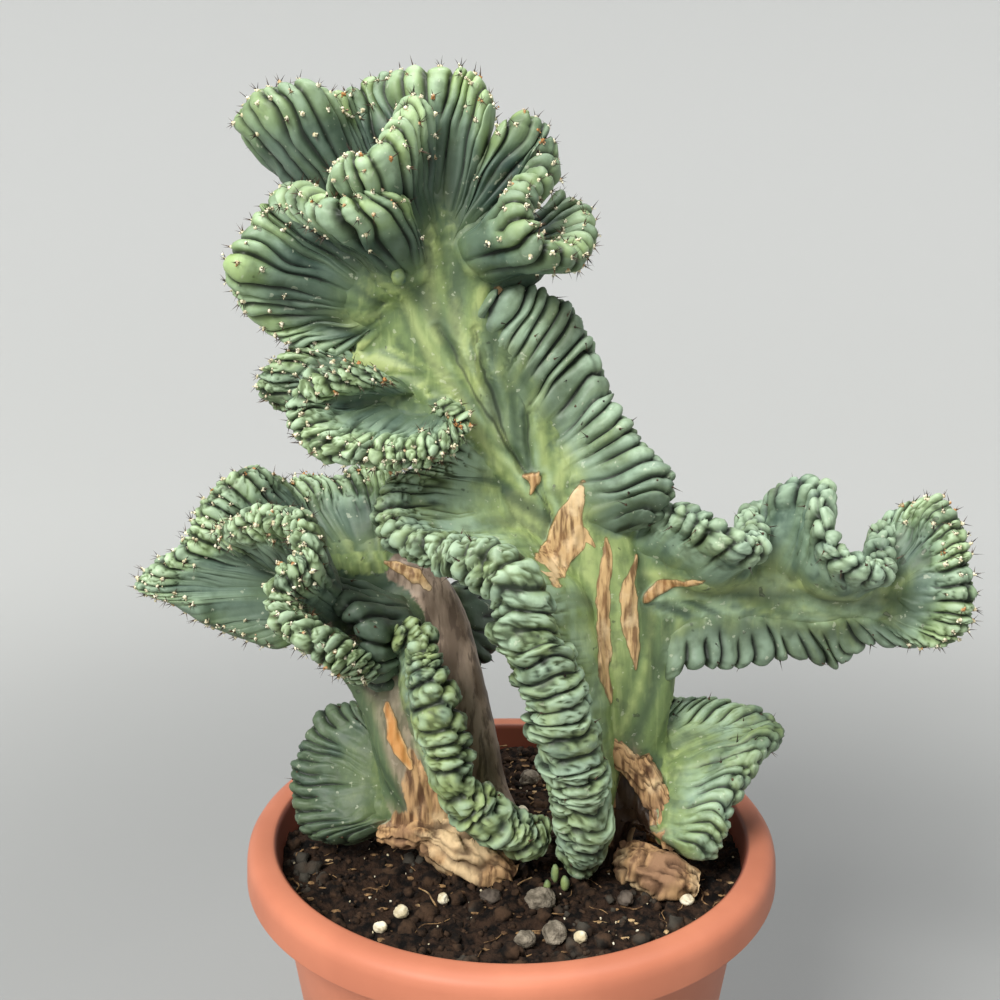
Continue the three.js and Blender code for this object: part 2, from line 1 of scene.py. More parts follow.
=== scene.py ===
"""A crested myrtillocactus in a plastic pot: its looks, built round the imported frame.

Lengths in the tables are millimetres; meshes are made in metres.
"""

import math

import bmesh
import bpy
import numpy as np
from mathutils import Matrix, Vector
from mathutils.kdtree import KDTree


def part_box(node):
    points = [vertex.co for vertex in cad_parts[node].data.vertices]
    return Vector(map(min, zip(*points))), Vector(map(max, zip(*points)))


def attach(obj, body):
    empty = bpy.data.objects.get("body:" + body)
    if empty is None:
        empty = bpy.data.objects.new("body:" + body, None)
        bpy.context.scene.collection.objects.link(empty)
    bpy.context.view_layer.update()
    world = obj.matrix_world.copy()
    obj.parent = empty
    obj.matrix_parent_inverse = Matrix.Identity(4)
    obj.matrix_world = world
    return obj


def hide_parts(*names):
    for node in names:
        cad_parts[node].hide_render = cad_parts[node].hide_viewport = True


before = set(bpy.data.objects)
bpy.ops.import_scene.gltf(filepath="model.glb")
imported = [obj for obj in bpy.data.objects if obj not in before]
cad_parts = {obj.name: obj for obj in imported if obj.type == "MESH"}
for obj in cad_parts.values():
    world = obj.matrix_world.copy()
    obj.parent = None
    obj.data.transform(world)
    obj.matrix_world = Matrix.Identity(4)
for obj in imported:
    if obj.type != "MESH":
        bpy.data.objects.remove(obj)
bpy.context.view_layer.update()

MM = 0.001

# Camera, as the photograph was taken: place, how far it looks down in degrees, and focal length
EYE = (-3.8, -364.0, 352.0)
PITCH = 12.9
LENS = 41.4

# Lights: name, place in metres, energy, size and tint
LIGHTS = (
    ("key", (-0.55, -0.9, 1.15), 26, 0.5, (1, 0.99, 0.96)),
    ("top", (0.1, 0.05, 1.4), 14, 0.8, (1, 1, 1)),
)

# Backdrop, in millimetres: a flat floor that curves up all round
BOWL_FLAT = 600.0
BOWL_CURVE = 1000.0

# Pot: heights, radii, the wall's thickness and slope, and where the rim's skirt ends. Soil: level,
# height of its swells, thickness of the modelled layer, and the size, shift and height of each
# layer of its grain. Stones: how many flat facets a rough one has.
POT_HEIGHT = 155.0
POT_FLOOR = 4.2
RIM = 90.0
BASE = 59.0
WALL = 1.6
SLOPE = 0.147
SKIRT = 143.0
SOIL_LEVEL = 145.2
SOIL_LUMP = 0.55
SOIL_DEEP = 14.0
SOIL_GRAIN = ((3.0, 0, 1.8), (1.3, 9, 1.2), (7.0, 4, 2.0))
STONE_FACETS = 14

# Values in the lattice that noise is made from, to a side
LATTICE_SIZE = 32

# Cactus: half the thickness of a plain web, and the grain of the core that webs and stems make
WEB_HALF = 3.3
WEB_STATIONS = 8
CORE_VOXEL = 2.0

# The grid of a crest's skin, the reach over which its web's direction is evened out, where the top
# arc starts in half-widths from the tip, and the share of the stations in the ribbed band
CREST_STEPS = 1500
COLUMNS_PER_RIB = 8
FACE_STATIONS = 16
TOP_STATIONS = 18
CALM_REACH = 43.0
TIP_SHARE = 0.2
NEAR_SHARE = 0.65

# The part of the trunk's front whose faces are split, and what lies left of the trunk and deeper
FRONT_ACROSS = (-62, 70)
FRONT_UP = (144, 356)
LEFT_OF_TRUNK = -25

# What every point of the skin says about its looks
LOOKS = ("olive", "vein", "crease", "young", "old", "dark", "bark", "grey", "pale", "tone",
         "relief", "warm", "frost")

# Where areoles sit, in stations from the middle of the crest, and how often
YOUNG_SPOTS = ((0, 1.0), (-7, 0.85), (7, 0.85), (-12, 0.4), (12, 0.4), (-16, 0.25), (16, 0.25))
OLD_SPOTS = ((0, 0.2), (-7, 0.3), (7, 0.3), (-13, 0.25), (13, 0.25))

# Stems: kind of skin, how much painted shade darkens it, and stations of (x, y, z, half width, half depth)
STEMS = {
    "main": ("trunk", 0, [
        (29, -10, 116, 9, 8), (30, -8, 144, 12, 10), (32, -4, 168, 15, 10), (34, -2, 193, 19, 10),
        (33, 0, 217, 23, 10), (26, 0, 238, 24, 10), (15, 2, 259, 21, 10), (3, 2, 278, 18, 9),
        (-8, 2, 298, 17, 9), (-18, 2, 320, 19, 8), (-23, 2, 350, 15, 7)]),
    "grey": ("grey", 0, [
        (-2, -6, 116, 5, 5), (-1, -4, 151, 6.5, 6.5), (-7, 4, 164, 6.5, 6), (-11, 8, 185, 6, 6),
        (-16, 11, 206, 6, 6), (-21, 14, 224, 6, 6), (-28, 14, 236, 6, 6), (-40, 14, 242, 5, 5)]),
    "left": ("bark", 0, [
        (-12, -18, 116, 6, 6), (-14, -16, 144, 7, 7), (-24, -13, 154, 8, 7), (-30, -13, 169, 9, 7),
        (-36, -12, 184, 9, 7), (-40, -9, 198, 9, 7), (-45, -6, 208, 9, 6), (-53, -3, 218, 9, 6),
        (-58, 0, 228, 7, 5)]),
    "arm": ("arm", 0, [
        (30, 0, 236, 10, 8), (53, 2, 236, 9, 7), (76, 3, 235, 8, 6), (99, 0, 236, 8, 6),
        (120, -4, 236, 6, 5)]),
    "left_limb": ("trunk", 0, [(-15, 2, 308, 14, 7), (-35, 4, 310, 11, 6), (-54, 7, 309, 6, 4)]),
    "left_shoulder": ("trunk", 0, [(-20, 2, 340, 13, 5.5), (-34, 4, 328, 13, 5), (-47, 6, 317, 10, 4.5)]),
    "foot": ("bark", 0, [
        (36, -2, 192, 8, 7), (43, -8, 174, 8, 6), (47, -15, 164, 7, 6), (49, -20, 157, 6, 5)]),
    "saddle": ("grey", 0, [
        (-8, -13, 155, 5, 4), (4, -13, 153.5, 4.5, 4), (16, -12, 153.5, 4.5, 4), (28, -10, 156, 5, 4)]),
    "grey_side": ("grey", 0, [
        (-30, 12, 236, 4, 4), (-28, 11, 226, 5, 4.5), (-25, 10, 214, 5, 4.5), (-22.5, 9, 202, 5, 4.5),
        (-19.5, 8, 190, 4.5, 4), (-15, 6, 178, 4, 4)]),
    # The pocket and the under_lobe fill gaps that lie in shade; their darkness is painted shade
    "pocket": ("trunk", 0.75, [
        (-64, 8, 237, 5, 3.5), (-54, 10, 233, 8, 4), (-43, 12, 231, 8.5, 4), (-32, 13, 230, 6, 4)]),
    "under_lobe": ("trunk", 0.8, [
        (-15, 3, 338, 8, 5), (-3, 3, 341, 8.5, 5), (6, 3, 343, 7, 4.5), (11, 3, 344, 4, 3.5)]),
    "stub": ("bark", 0, [(-27, -13, 164, 5, 5), (-36, -12, 159, 5, 5), (-44, -12, 157, 4, 4)]),
}

# How the ribs of a crest look: pitch of the ribs and how uneven it is, depth of the creases, how
# sharply the crest's band ends (lip) and how far down it reaches in crest half-widths (band), how
# far the creases run towards the root as a share of the way (reach) and how many stay short,
# whether the ribs of both faces interlock (zig), the groove along the top, the height of the
# swellings on the ribs (knots), how deep the breaks across the ribs are (split) and the fine
# folds all over (pucker), how young or old the growth is, how strong the painted highlight along
# its edge is and how much painted shade darkens the flanks below it, how much olive is added to
# the inner web, and the strength of the pale bloom.
KIND_KEYS = ("pitch", "uneven", "depth", "lip", "band", "reach", "short", "zig", "groove", "knots", "split",
             "pucker", "young", "old", "frost", "shade", "olive", "bloom")
KIND_ROWS = {
    "crown": (5.3, 0.4, 2.6, 0.4, 2.6, (0.6, 1), 0.25, 0, 0.9, 1.4, 0.5, 0.25, 1, 0, 0.45, 0.85, 0, 1),
    "finger": (5.7, 0.42, 3.4, 0.75, 3.9, (0.5, 0.85), 0.1, 1, 2, 0.7, 0.6, 0.35, 0, 0.7, 0.15, 0, 0, 1),
    "fan": (4.6, 0.4, 2.2, 0.4, 2.2, (0.3, 0.95), 0.2, 1, 1.3, 0.8, 1, 0.6, 0.15, 0.35, 0.15, 0, 0, 1),
    "bead": (5.8, 0.4, 2.8, 0.85, 1.4, (0.2, 0.5), 0, 1, 2.1, 0.5, 1.5, 0.5, 0.1, 0.15, 0.6, 0, 0, 1),
    "strip": (4.9, 0.6, 2.5, 0.85, 1.2, (0.15, 0.4), 0.1, 1, 2.2, 0.4, 2, 1, 0.15, 0.3, 0.3, 0, 0, 1),
    "knob": (4, 0.5, 2, 0.6, 1.5, (0.12, 0.55), 0.35, 1, 1.8, 1.1, 1.8, 0.9, 0.8, 0.1, 0.9, 0.62, 0, 1),
    "wedge": (6.2, 0.35, 2.6, 0.3, 3, (0.4, 0.9), 0.2, 0, 0.5, 0.8, 0.6, 0.3, 0, 0.9, 0, 0, 0, 1),
}
KINDS = {name: dict(zip(KIND_KEYS, row)) for name, row in KIND_ROWS.items()}

# Crests: kind and group, the line of the root, the line of the crest and half its thickness. Some
# have a thicker root (root_half), lean to one side, or are warmer; some are darkened with painted
# shade (dark), perhaps only from one share of the way along to another (dim); some lose their ribs
# along the way (plain), and some differ from their kind (but).
CRESTS = {
    "front_fold": {
        "kind": "strip", "group": "right", "root_half": 7.5, "lean": -0.35, "warm": 0.5,
        # Its raised bloom is partly painted light, brightening a web that lies in shade
        "but": {"olive": 0.45, "bloom": 1.6},
        "root": [(-4, 2, 281), (9, 2, 260), (26, -1, 231), (32, -4, 190), (29, -10, 149)],
        "crest": [(-21, -4, 292), (-24, -8, 283), (-36, -16, 278), (-38, -24, 269), (-31, -32, 262),
                  (-16, -38, 260), (-2, -42, 253), (3, -42, 237), (10, -40, 219), (15, -38, 201),
                  (19, -36, 184), (22, -32, 168), (21, -28, 158), (19, -25, 149)],
        "half": [4.5, 5, 5.5, 6.5, 9, 10.5, 11, 10.5, 9, 7.5],
    },
    "right_ruffle": {
        "kind": "finger", "group": "right", "root_half": 9, "lean": 0.35, "dark": 0.75, "dim": (0.78, 0.92),
        "root": [(-16, 2, 316), (5, 3, 283), (28, 0, 255)],
        "crest": [(-11, -2, 333), (0, 0, 334), (11, 2, 332), (20, 3, 323), (26, 3, 311), (30, 1, 299),
                  (37, -4, 289), (45, -10, 281), (47, -14, 274), (40, -14, 264)],
        "half": [4.5, 5, 6, 6],
    },
    "arm_near": {
        "kind": "bead", "group": "right", "root_half": 5,
        "root": [(36, 2, 248), (65, 2, 236), (86, 3, 235)],
        "crest": [(46, 0, 265), (54, -14, 268), (62, -24, 264), (71, -28, 260), (77, -16, 260),
                  (78, 0, 261), (82, 12, 262), (88, 12, 264)],
        "half": [5, 5],
    },
    "arm_far": {
        "kind": "bead", "group": "right", "root_half": 4.8,
        "root": [(79, 4, 234), (103, -1, 236), (121, -2, 236)],
        "crest": [(87, 10, 265), (90, 0, 272), (97, -9, 274), (96, -19, 267), (97, -27, 260),
                  (105, -30, 255), (113, -24, 252), (118, -11, 255), (122, 2, 259), (129, 6, 263)],
        "half": [5, 5, 4.5],
    },
    "arm_end": {
        "kind": "knob", "group": "right",
        "root": [(115, -2, 237), (123, -5, 238), (117, -3, 232)],
        "crest": [(128, 6, 263), (137, 2, 266), (142, -6, 259), (143, -12, 247), (143, -14, 234),
                  (138, -12, 225), (130, -6, 223)],
        "half": [4.5, 5.5, 5],
    },
    "arm_lower": {
        "kind": "wedge", "group": "right", "root_half": 5, "dark": 0.35,
        "root": [(118, -2, 234), (94, 1, 233), (64, 2, 232), (40, 2, 220)],
        "crest": [(132, -6, 222), (118, 0, 221), (110, 4, 212), (93, 2, 216), (76, 0, 213), (61, -4, 215),
                  (52, -4, 211), (49, -2, 203)],
        "half": [4.5, 4],
    },
    "right_fan": {
        "kind": "fan", "group": "right", "root_half": 5, "warm": 0.5,
        "but": {"olive": 0.25, "split": 1.6, "reach": (0.25, 0.65)},
        "root": [(44, 2, 182), (46, -9, 173), (47, -20, 160)],
        "crest": [(49, 8, 194), (66, 12, 193), (81, 8, 191), (89, -2, 189), (81, -13, 187), (74, -20, 180),
                  (68, -26, 172), (64, -30, 164), (57, -31, 157)],
        "half": [4.5, 5, 6, 7],
    },
    "crown_right": {
        "kind": "crown", "group": "crown", "root_half": 8, "dark": 0.45,
        "root": [(-21, 2, 344), (-14, 2, 344), (-11, 6, 341)],
        "crest": [(-6, -2, 382), (3, -2, 385), (10, 0, 379), (9, -6, 369), (3, -16, 364), (2, -24, 356),
                  (9, -25, 348), (17, -15, 346), (22, -2, 350), (22, 10, 358), (14, 18, 365)],
        "half": [5, 5, 4.5, 4.5],
    },
    "crown_top": {
        "kind": "crown", "group": "crown", "root_half": 8,
        "root": [(-19, 2, 344), (-24, 2, 346), (-31, 4, 344)],
        "crest": [(-6, 0, 383), (-9, 2, 393), (-15, 4, 398), (-24, 4, 399), (-33, 8, 398), (-43, 14, 397),
                  (-52, 14, 393)],
        "half": [5, 5],
    },
    "crown_left": {
        "kind": "crown", "group": "crown", "root_half": 7.5, "dark": 0.35,
        "root": [(-30, 4, 344), (-36, 3, 340), (-40, 5, 332)],
        "crest": [(-51, 14, 393), (-56, 6, 391), (-60, -5, 393), (-67, -8, 393), (-75, -2, 391),
                  (-80, 9, 387), (-76, 20, 381)],
        "half": [5, 5.5],
    },
    "crown_ridge": {
        "kind": "crown", "group": "crown", "root_half": 7.5,
        "root": [(-27, 0, 348), (-30, 0, 347), (-33, 0, 343)],
        "crest": [(-24, -8, 388), (-29, -14, 387), (-33, -22, 379), (-40, -28, 373), (-49, -25, 370),
                  (-51, -16, 366)],
        "half": [5, 5],
    },
    "left_upper": {
        "kind": "crown", "group": "crown", "root_half": 7.5,
        "root": [(-27, 0, 342), (-34, 0, 337), (-44, 3, 332), (-40, 4, 328)],
        "crest": [(-32, -14, 363), (-40, -26, 361), (-50, -27, 358), (-58, -16, 361), (-67, -5, 364),
                  (-74, -2, 359), (-79, -8, 351), (-83, -11, 343), (-82, -4, 334), (-76, 3, 326),
                  (-64, 6, 319), (-53, 8, 316)],
        "half": [5, 5.5, 5],
    },
    "left_back": {
        "kind": "knob", "group": "crown",
        "root": [(-44, 6, 310), (-48, 7, 309), (-44, 8, 306)],
        "crest": [(-51, 8, 318), (-64, 6, 317), (-75, 4, 312), (-79, 6, 304), (-73, 11, 298),
                  (-64, 15, 297)],
        "half": [4.5, 5],
    },
    "left_bowl": {
        "kind": "knob", "group": "crown", "root_half": 5,
        "root": [(-30, -3, 304), (-34, -4, 303), (-22, 0, 298), (-21, -1, 299)],
        "crest": [(-40, -16, 312), (-50, -23, 312), (-60, -24, 309), (-64, -25, 301), (-58, -29, 293),
                  (-46, -33, 290), (-34, -33, 289), (-22, -29, 290), (-16, -20, 295), (-24, -11, 302)],
        "half": [5, 5, 4],
    },
    "wing_back": {
        "kind": "knob", "group": "wing", "dark": 0.86, "dim": (0.7, 0.85), "plain": (0.68, 0.8),
        "root": [(-39, 14, 242), (-51, 10, 241), (-61, 6, 239), (-66, 3, 236), (-62, 2, 230)],
        "crest": [(-37, 22, 274), (-48, 26, 273), (-60, 28, 269), (-71, 26, 269), (-79, 20, 267),
                  (-84, 12, 274), (-89, 3, 275), (-97, 0, 267), (-102, -3, 257), (-111, -6, 250),
                  (-118, -9, 242), (-107, -7, 236), (-97, -5, 229), (-86, -4, 224), (-74, -2, 219)],
        "half": [4.5, 5, 4.5],
    },
    "wing_front": {
        "kind": "knob", "group": "wing",
        "root": [(-59, 3, 237), (-54, 0, 226), (-51, -2, 218), (-50, -3, 213)],
        "crest": [(-96, -6, 258), (-86, -16, 264), (-75, -22, 269), (-64, -27, 267), (-62, -32, 258),
                  (-70, -35, 249), (-68, -36, 241), (-57, -35, 232), (-49, -28, 223), (-47, -16, 212)],
        "half": [4.5, 5.5, 5.5],
    },
    "wing_inner": {
        "kind": "wedge", "group": "wing", "dark": 0.9,
        "root": [(-30, 10, 229), (-31, 7, 225), (-35, 0, 214)],
        "crest": [(-62, -8, 246), (-57, -14, 241), (-50, -20, 237), (-46, -20, 230), (-44, -16, 220),
                  (-43, -8, 207)],
        "half": [4.5, 5],
    },
    "left_strip": {
        "kind": "strip", "group": "wing", "warm": 0.9,
        "root": [(-37, 0, 217), (-36, -4, 196), (-24, -8, 172), (10, -9, 156)],
        "crest": [(-39, -16, 229), (-28, -23, 231), (-26, -28, 222), (-22, -30, 210), (-19, -32, 198),
                  (-18, -32, 186), (-11, -31, 176), (-1, -30, 168), (7, -26, 162), (12, -20, 158)],
        "half": [5, 6, 8.5, 8.5, 8, 7],
    },
    # A lobe behind the grey stem, darkened all over with painted shade
    "shaded_lobe": {
        "kind": "wedge", "group": "wing", "dark": 1,
        "root": [(-25, 18, 232), (-22, 18, 222), (-21, 18, 214)],
        "crest": [(-18, 32, 233), (-11, 37, 223), (-8, 37, 211), (-11, 34, 203), (-18, 28, 200)],
        "half": [5, 5],
    },
    "left_fan": {
        "kind": "fan", "group": "wing", "warm": 0.3, "dark": 0.82, "but": {"bloom": 0.35, "olive": 0.35},
        "root": [(-40, -6, 180), (-38, -9, 172), (-36, -12, 162)],
        "crest": [(-46, 6, 191), (-55, 10, 192), (-64, 10, 188), (-70, 6, 179), (-72, 0, 170),
                  (-71, -7, 162), (-65, -13, 156.5), (-52, -16, 155.5)],
        "half": [4.5, 5, 5.5],
    },
}

# Marks on the front of the trunk, as ribbons of (across, up, width). The grooves are pushed in and
# darkened with painted shade, and the plain ones are edged with a painted highlight.
GROOVES = [
    [(-21.9, 324, 0.6), (-17.7, 317.3, 1.2), (-10.7, 302.4, 1.5), (-2.2, 289.8, 1.6), (5.7, 277.6, 1.4),
     (11.5, 267.2, 1.0), (15.4, 259, 0.5)],
    [(-10.6, 322.5, 1.0), (-8.1, 311.1, 1.8), (-3.8, 296.1, 1.6), (1.6, 285, 1.0), (3.8, 279.5, 0.4)],
    [(5.2, 304, 1.6), (5.9, 293, 1.4), (6.9, 280.8, 0.5)],
    [(10.8, 277, 0.5), (11.8, 263.9, 1.2), (13.2, 254.7, 0.4)],
]
FAINT_GROOVES = [
    [(57.7, 239.3, 0.5), (80.4, 237.9, 1.1), (103.1, 237.2, 1.1), (125.8, 237.9, 0.4)],
    [(41.2, 250.7, 0.5), (45, 230.4, 1.0), (47.3, 209.6, 0.5)],
]
# Hollows in the dry foot of the trunk, pushed in and darkened with painted shade
HOLLOWS = [
    [(38, 184, 2), (39.5, 173, 9), (41, 163, 13), (41, 150, 14)],
    [(13, 154, 5), (24, 149, 13), (35, 147, 13)],
]
VEINS = [
    [(44, 245, 1), (58, 241, 6), (80, 243, 6), (100, 241, 5), (117, 240, 1)],
    [(0, 262, 1), (2, 270, 7), (6, 264, 7), (12, 258, 3)],
    [(-34.3, 333.1, 1.0), (-25.4, 317.9, 2.2), (-13.2, 296.1, 2.6), (-3.8, 280.2, 1.0)],
    [(-24.9, 353.9, 2.0), (-26.7, 336.1, 2.6), (-22.3, 321, 2.0)],
    [(-18.5, 333.1, 1.6), (-13.1, 311.8, 3.0), (-2.2, 289.8, 2.2)],
    [(15.2, 273.7, 1.0), (19.7, 289.8, 2.4), (21.1, 302.4, 1.0)],
]
# Dry scars in the same form, with how orange each one is
SCARS = [
    ([(29.8, 258.1, 0.9), (28.9, 251.2, 3.8), (29.5, 237.5, 4.8), (30.1, 225, 4.8), (29, 215.7, 3.6),
      (29.8, 210.9, 2.3), (30.6, 203.2, 0.7)], 0.1),
    ([(39.8, 251.2, 1.3), (37.8, 241.9, 4.8), (39, 232.8, 5.5), (39.5, 223.3, 3.6),
      (39.8, 214.4, 0.7)], 0.0),
    ([(44.8, 237.2, 3.2), (48.9, 239.6, 4.5), (52.8, 241.6, 3.6), (60.7, 245.7, 1.3)], 0.3),
    ([(9.5, 279, 0.4), (8, 276.5, 4.5), (6.5, 272.3, 0.6)], 0.2),
    ([(4, 278, 1.0), (8, 277, 3.6)], 0.2),
    ([(22.6, 275.8, 1.0), (21.2, 269.9, 5.2), (18.9, 264.3, 9.1), (17, 258.4, 11.1), (13.7, 252.5, 8.5),
      (13.7, 243.4, 0.8)], 0.0),
    ([(17, 256.1, 8.5), (9.9, 252.7, 6.5), (5, 251.4, 4.4), (0.8, 251.2, 0.7)], 0.1),
    ([(22, 261.5, 4), (25.4, 255.8, 0.8)], 0.0),
    ([(-43, 244.5, 1), (-38, 243, 3.5), (-31.5, 240, 4.5), (-27.5, 236.5, 1.5)], 0.15),
    ([(-39.8, 203.1, 2.2), (-37.1, 194.1, 5.2), (-35.2, 189.2, 4.9), (-32.7, 182.9, 1.6)], 1.0),
    ([(-22.7, 265.9, 0.9), (-22.7, 263.9, 2.8), (-22.8, 261.7, 0.9)], 0.4),
    ([(-5.6, 335.8, 0.9), (-3.8, 333.1, 2.4)], 0.5),
]

# How the marks show on the core: look, strength and the depths inside the ribbon at which it
# starts and is full, and the same for how far the skin rises there. The looks of the grooves, the
# faint grooves and the hollows are painted shade; the veins are the skin's own colour.
MARKS = (
    (GROOVES, "crease", 0.6, -0.4, 0.7, -1.1, -2.0, 0.6),
    (FAINT_GROOVES, "dark", 0.7, -4.0, 0.5, -0.8, -5.0, 0.6),
    (HOLLOWS, "hollow", 1.0, -1.0, 2.5, 0.0, -1.0, 2.5),
    (VEINS, "vein", 0.85, -2.5, 1.0, 0.4, -3.0, 1.0),
)

# Dry bark that stands clear of the stems: how rough it is, and stations like those of the stems
SLABS = (
    (1.0, [(27, -10, 194, 2.5, 2), (35, -13.5, 186, 4, 2.6), (43, -15.5, 178, 4, 2.6),
           (47, -17, 169, 2.5, 2)]),
    (1.0, [(43, -13.5, 185, 2.5, 2.2), (48, -17, 174, 4, 2.8), (51, -20, 165, 4, 2.8),
           (53, -22, 157, 3, 2.4)]),
    (0.9, [(39, -14, 147, 6, 6), (43, -23, 150, 8, 8), (51, -29, 150, 8, 8), (59, -30, 147, 5, 5)]),
    (1.3, [(-44, -13, 158, 3, 3), (-36, -15, 158, 4, 4), (-28, -18, 160, 6, 5), (-18, -20, 155, 8, 6),
           (-8, -21, 149, 7, 6), (0, -21, 145, 5, 4)]),
)

# Small green shoots at the foot of the front fold and a nub on the trunk: place and half sizes
SHOOTS = (((14, -28, 151), (1.3, 1.3, 3.4)), ((17.2, -30, 148.5), (1.5, 1.4, 2.8)),
          ((11.5, -28.5, 147), (1.2, 1.3, 1.9)), ((-34.4, -11.5, 340.2), (2.3, 2.6, 2.6)))

# The skin's coats from the ground up: colour, strength and the factors it depends on. A factor is
# an attribute, an attribute with its low and high end, or noise given by its scale, detail, low
# and high end and stretch.
COATS = (
    ((100, 122, 92), 0.6, ("tone", 0.1, 0.9)),
    ((100, 112, 88), 0.65, "old"),
    ((146, 162, 96), 1, "warm", (110, 3, 0.35, 0.62)),
    ((126, 145, 80), 1, "olive"),
    ((176, 188, 126), 0.7, "vein"),
    ((164, 178, 118), 0.55, "olive", (300, 5, 0.52, 0.68, (1.6, 1.6, 0.2))),
    ((78, 98, 56), 0.6, "olive", (190, 5, 0.5, 0.68, (1.5, 1.5, 0.3))),
    ((148, 174, 82), 0.75, "young"),
    # Pale bloom; beside the trunk's grooves and on the front fold it is partly painted highlight
    ((164, 189, 165), 0.62, "pale", (90, 4, 0.3, 0.65)),
    # A painted highlight along the crests' edges
    ((196, 217, 184), 0.62, "frost"),
    # Painted shade, together with dark streaks in the webs and stems
    ((42, 58, 48), 0.75, "dark"),
    ((70, 84, 60), 0.45, (170, 5, 0.5, 0.72)),
    ((206, 210, 186), 0.3, (420, 2, 0.67, 0.71)),
    ((44, 50, 38), 0.6, (210, 2, 0.7, 0.74)),
    # Painted shade in the creases
    ((20, 28, 20), 0.92, ("crease", 0.12, 0.8)),
)

# Plain materials: dark, light and rare colour, scale of the patches and roughness, and where they
# differ from the usual the depth of the bump, the shine and the strength of the bump
PLAIN_MATERIALS = {
    "wool": ((186, 176, 140), (240, 234, 210), (176, 126, 78), 900, 0.95),
    "thorn": ((30, 22, 18), (84, 62, 44), None, 300, 0.5),
    "terracotta": ((178, 108, 82), (192, 119, 91), (197, 131, 106), 22, 0.5, 0.00008),
    "earth": ((8, 5, 4), (52, 37, 27), None, 300, 0.95, 0.001, 0.2, 1.0),
    "clod": ((18, 13, 10), (66, 49, 36), (66, 62, 55), 260, 0.95, 0.0006, 0.2, 0.8),
    "chip": ((74, 52, 34), (150, 118, 80), (186, 158, 116), 400, 0.85),
    "pumice": ((96, 88, 76), (146, 136, 120), None, 350, 0.9, 0.0008, 0.2, 1.0),
    "perlite": ((196, 182, 148), (236, 228, 204), None, 300, 0.85),
    "pebble": ((58, 50, 44), (98, 88, 78), None, 250, 0.8),
}


# Shapes


def smooth(low, high, x):
    """0 at low, 1 at high and a soft step between them."""
    w = np.clip((np.asarray(x, float) - low) / (high - low), 0, 1)
    return w * w * (3 - 2 * w)


def unit(v):
    return v / np.maximum(np.linalg.norm(v, axis=-1, keepdims=True), 1e-9)


def turns(count):
    """Angles spread evenly over one turn."""
    return np.arange(count) * 2 * math.pi / count


def spline(points, t):
    """Points of a smooth curve through the given ones, at t from 0 to 1."""
    p = np.array(points, float)
    p = np.vstack([2 * p[0] - p[1], p, 2 * p[-1] - p[-2]])
    place = np.clip(np.asarray(t, float) * (len(points) - 1), 0, len(points) - 1 - 1e-9)
    i = place.astype(int)
    w = (place - i)[:, None]
    a, b, c, d = p[i], p[i + 1], p[i + 2], p[i + 3]
    ab, bc, cd = (
        np.maximum(np.linalg.norm(r - q, axis=1), 1e-6)[:, None] ** 0.5 for q, r in ((a, b), (b, c), (c, d))
    )
    t1 = ((b - a) / ab - (c - a) / (ab + bc) + (c - b) / bc) * bc
    t2 = ((c - b) / bc - (d - b) / (bc + cd) + (d - c) / cd) * bc
    return b + t1 * w + (3 * (c - b) - 2 * t1 - t2) * w**2 + (2 * (b - c) + t1 + t2) * w**3


LATTICE = np.random.default_rng(5).random((LATTICE_SIZE,) * 3)


def noise(p, size, shift=0.0):
    """Smooth noise from 0 to 1 at points p, with lumps about size across."""
    q = np.asarray(p, float) / size + shift
    i = np.floor(q).astype(int)
    f = q - i
    f = f * f * (3 - 2 * f)
    total = 0
    for corner in np.ndindex(2, 2, 2):
        x, y, z = np.moveaxis((i + corner) % LATTICE_SIZE, -1, 0)
        total = total + LATTICE[x, y, z] * np.where(corner, f, 1 - f).prod(-1)
    return total


def grid_faces(columns, rows):
    """Quads of a grid of columns times rows of points, each column closed on itself."""
    c, r = (v.ravel() for v in np.meshgrid(np.arange(columns - 1), np.arange(rows), indexing="ij"))
    n = (r + 1) % rows
    return np.stack([c * rows + r, (c + 1) * rows + r, (c + 1) * rows + n, c * rows + n], 1)


def end_faces(first, rows, turned):
    """Quads that close a flat loop of rows points, pairing the ones that mirror each other."""
    i = np.arange(rows // 2 - 1)
    quads = np.stack([i, i + 1, rows - 2 - i, rows - 1 - i], 1) + first
    return quads[:, ::-1] if turned else quads


def fan(first, step, count, apex, turned):
    """Triangles from a loop of count points, step apart in the list, to one point at their middle."""
    k = first + np.arange(count) * step
    n = np.roll(k, -1)
    return np.stack([n, k, np.full(count, apex)] if turned else [k, n, np.full(count, apex)], 1)


def round_skin(place, ends, turned=False):
    """A skin over columns of points round the Z axis, closed on the axis at one end or both."""
    sides, rows = place.shape[:2]
    c, r = (v.ravel() for v in np.meshgrid(np.arange(sides), np.arange(rows - 1), indexing="ij"))
    n = (c + 1) % sides
    quads = np.stack([c * rows + r, n * rows + r, n * rows + r + 1, c * rows + r + 1], 1)
    faces = [quads[:, [0, 3, 2, 1]] if turned else quads]
    for i in range(len(ends)):
        faces.append(fan(i * (rows - 1), rows, sides, sides * rows + i, turned == bool(i)))
    return np.vstack([place.reshape(-1, 3), [(0, 0, z) for z in ends]]), faces


def set_looks(mesh, looks):
    for key, values in looks.items():
        layer = mesh.attributes.new(key, "FLOAT", "POINT")
        layer.data.foreach_set("value", np.asarray(values, np.float32))


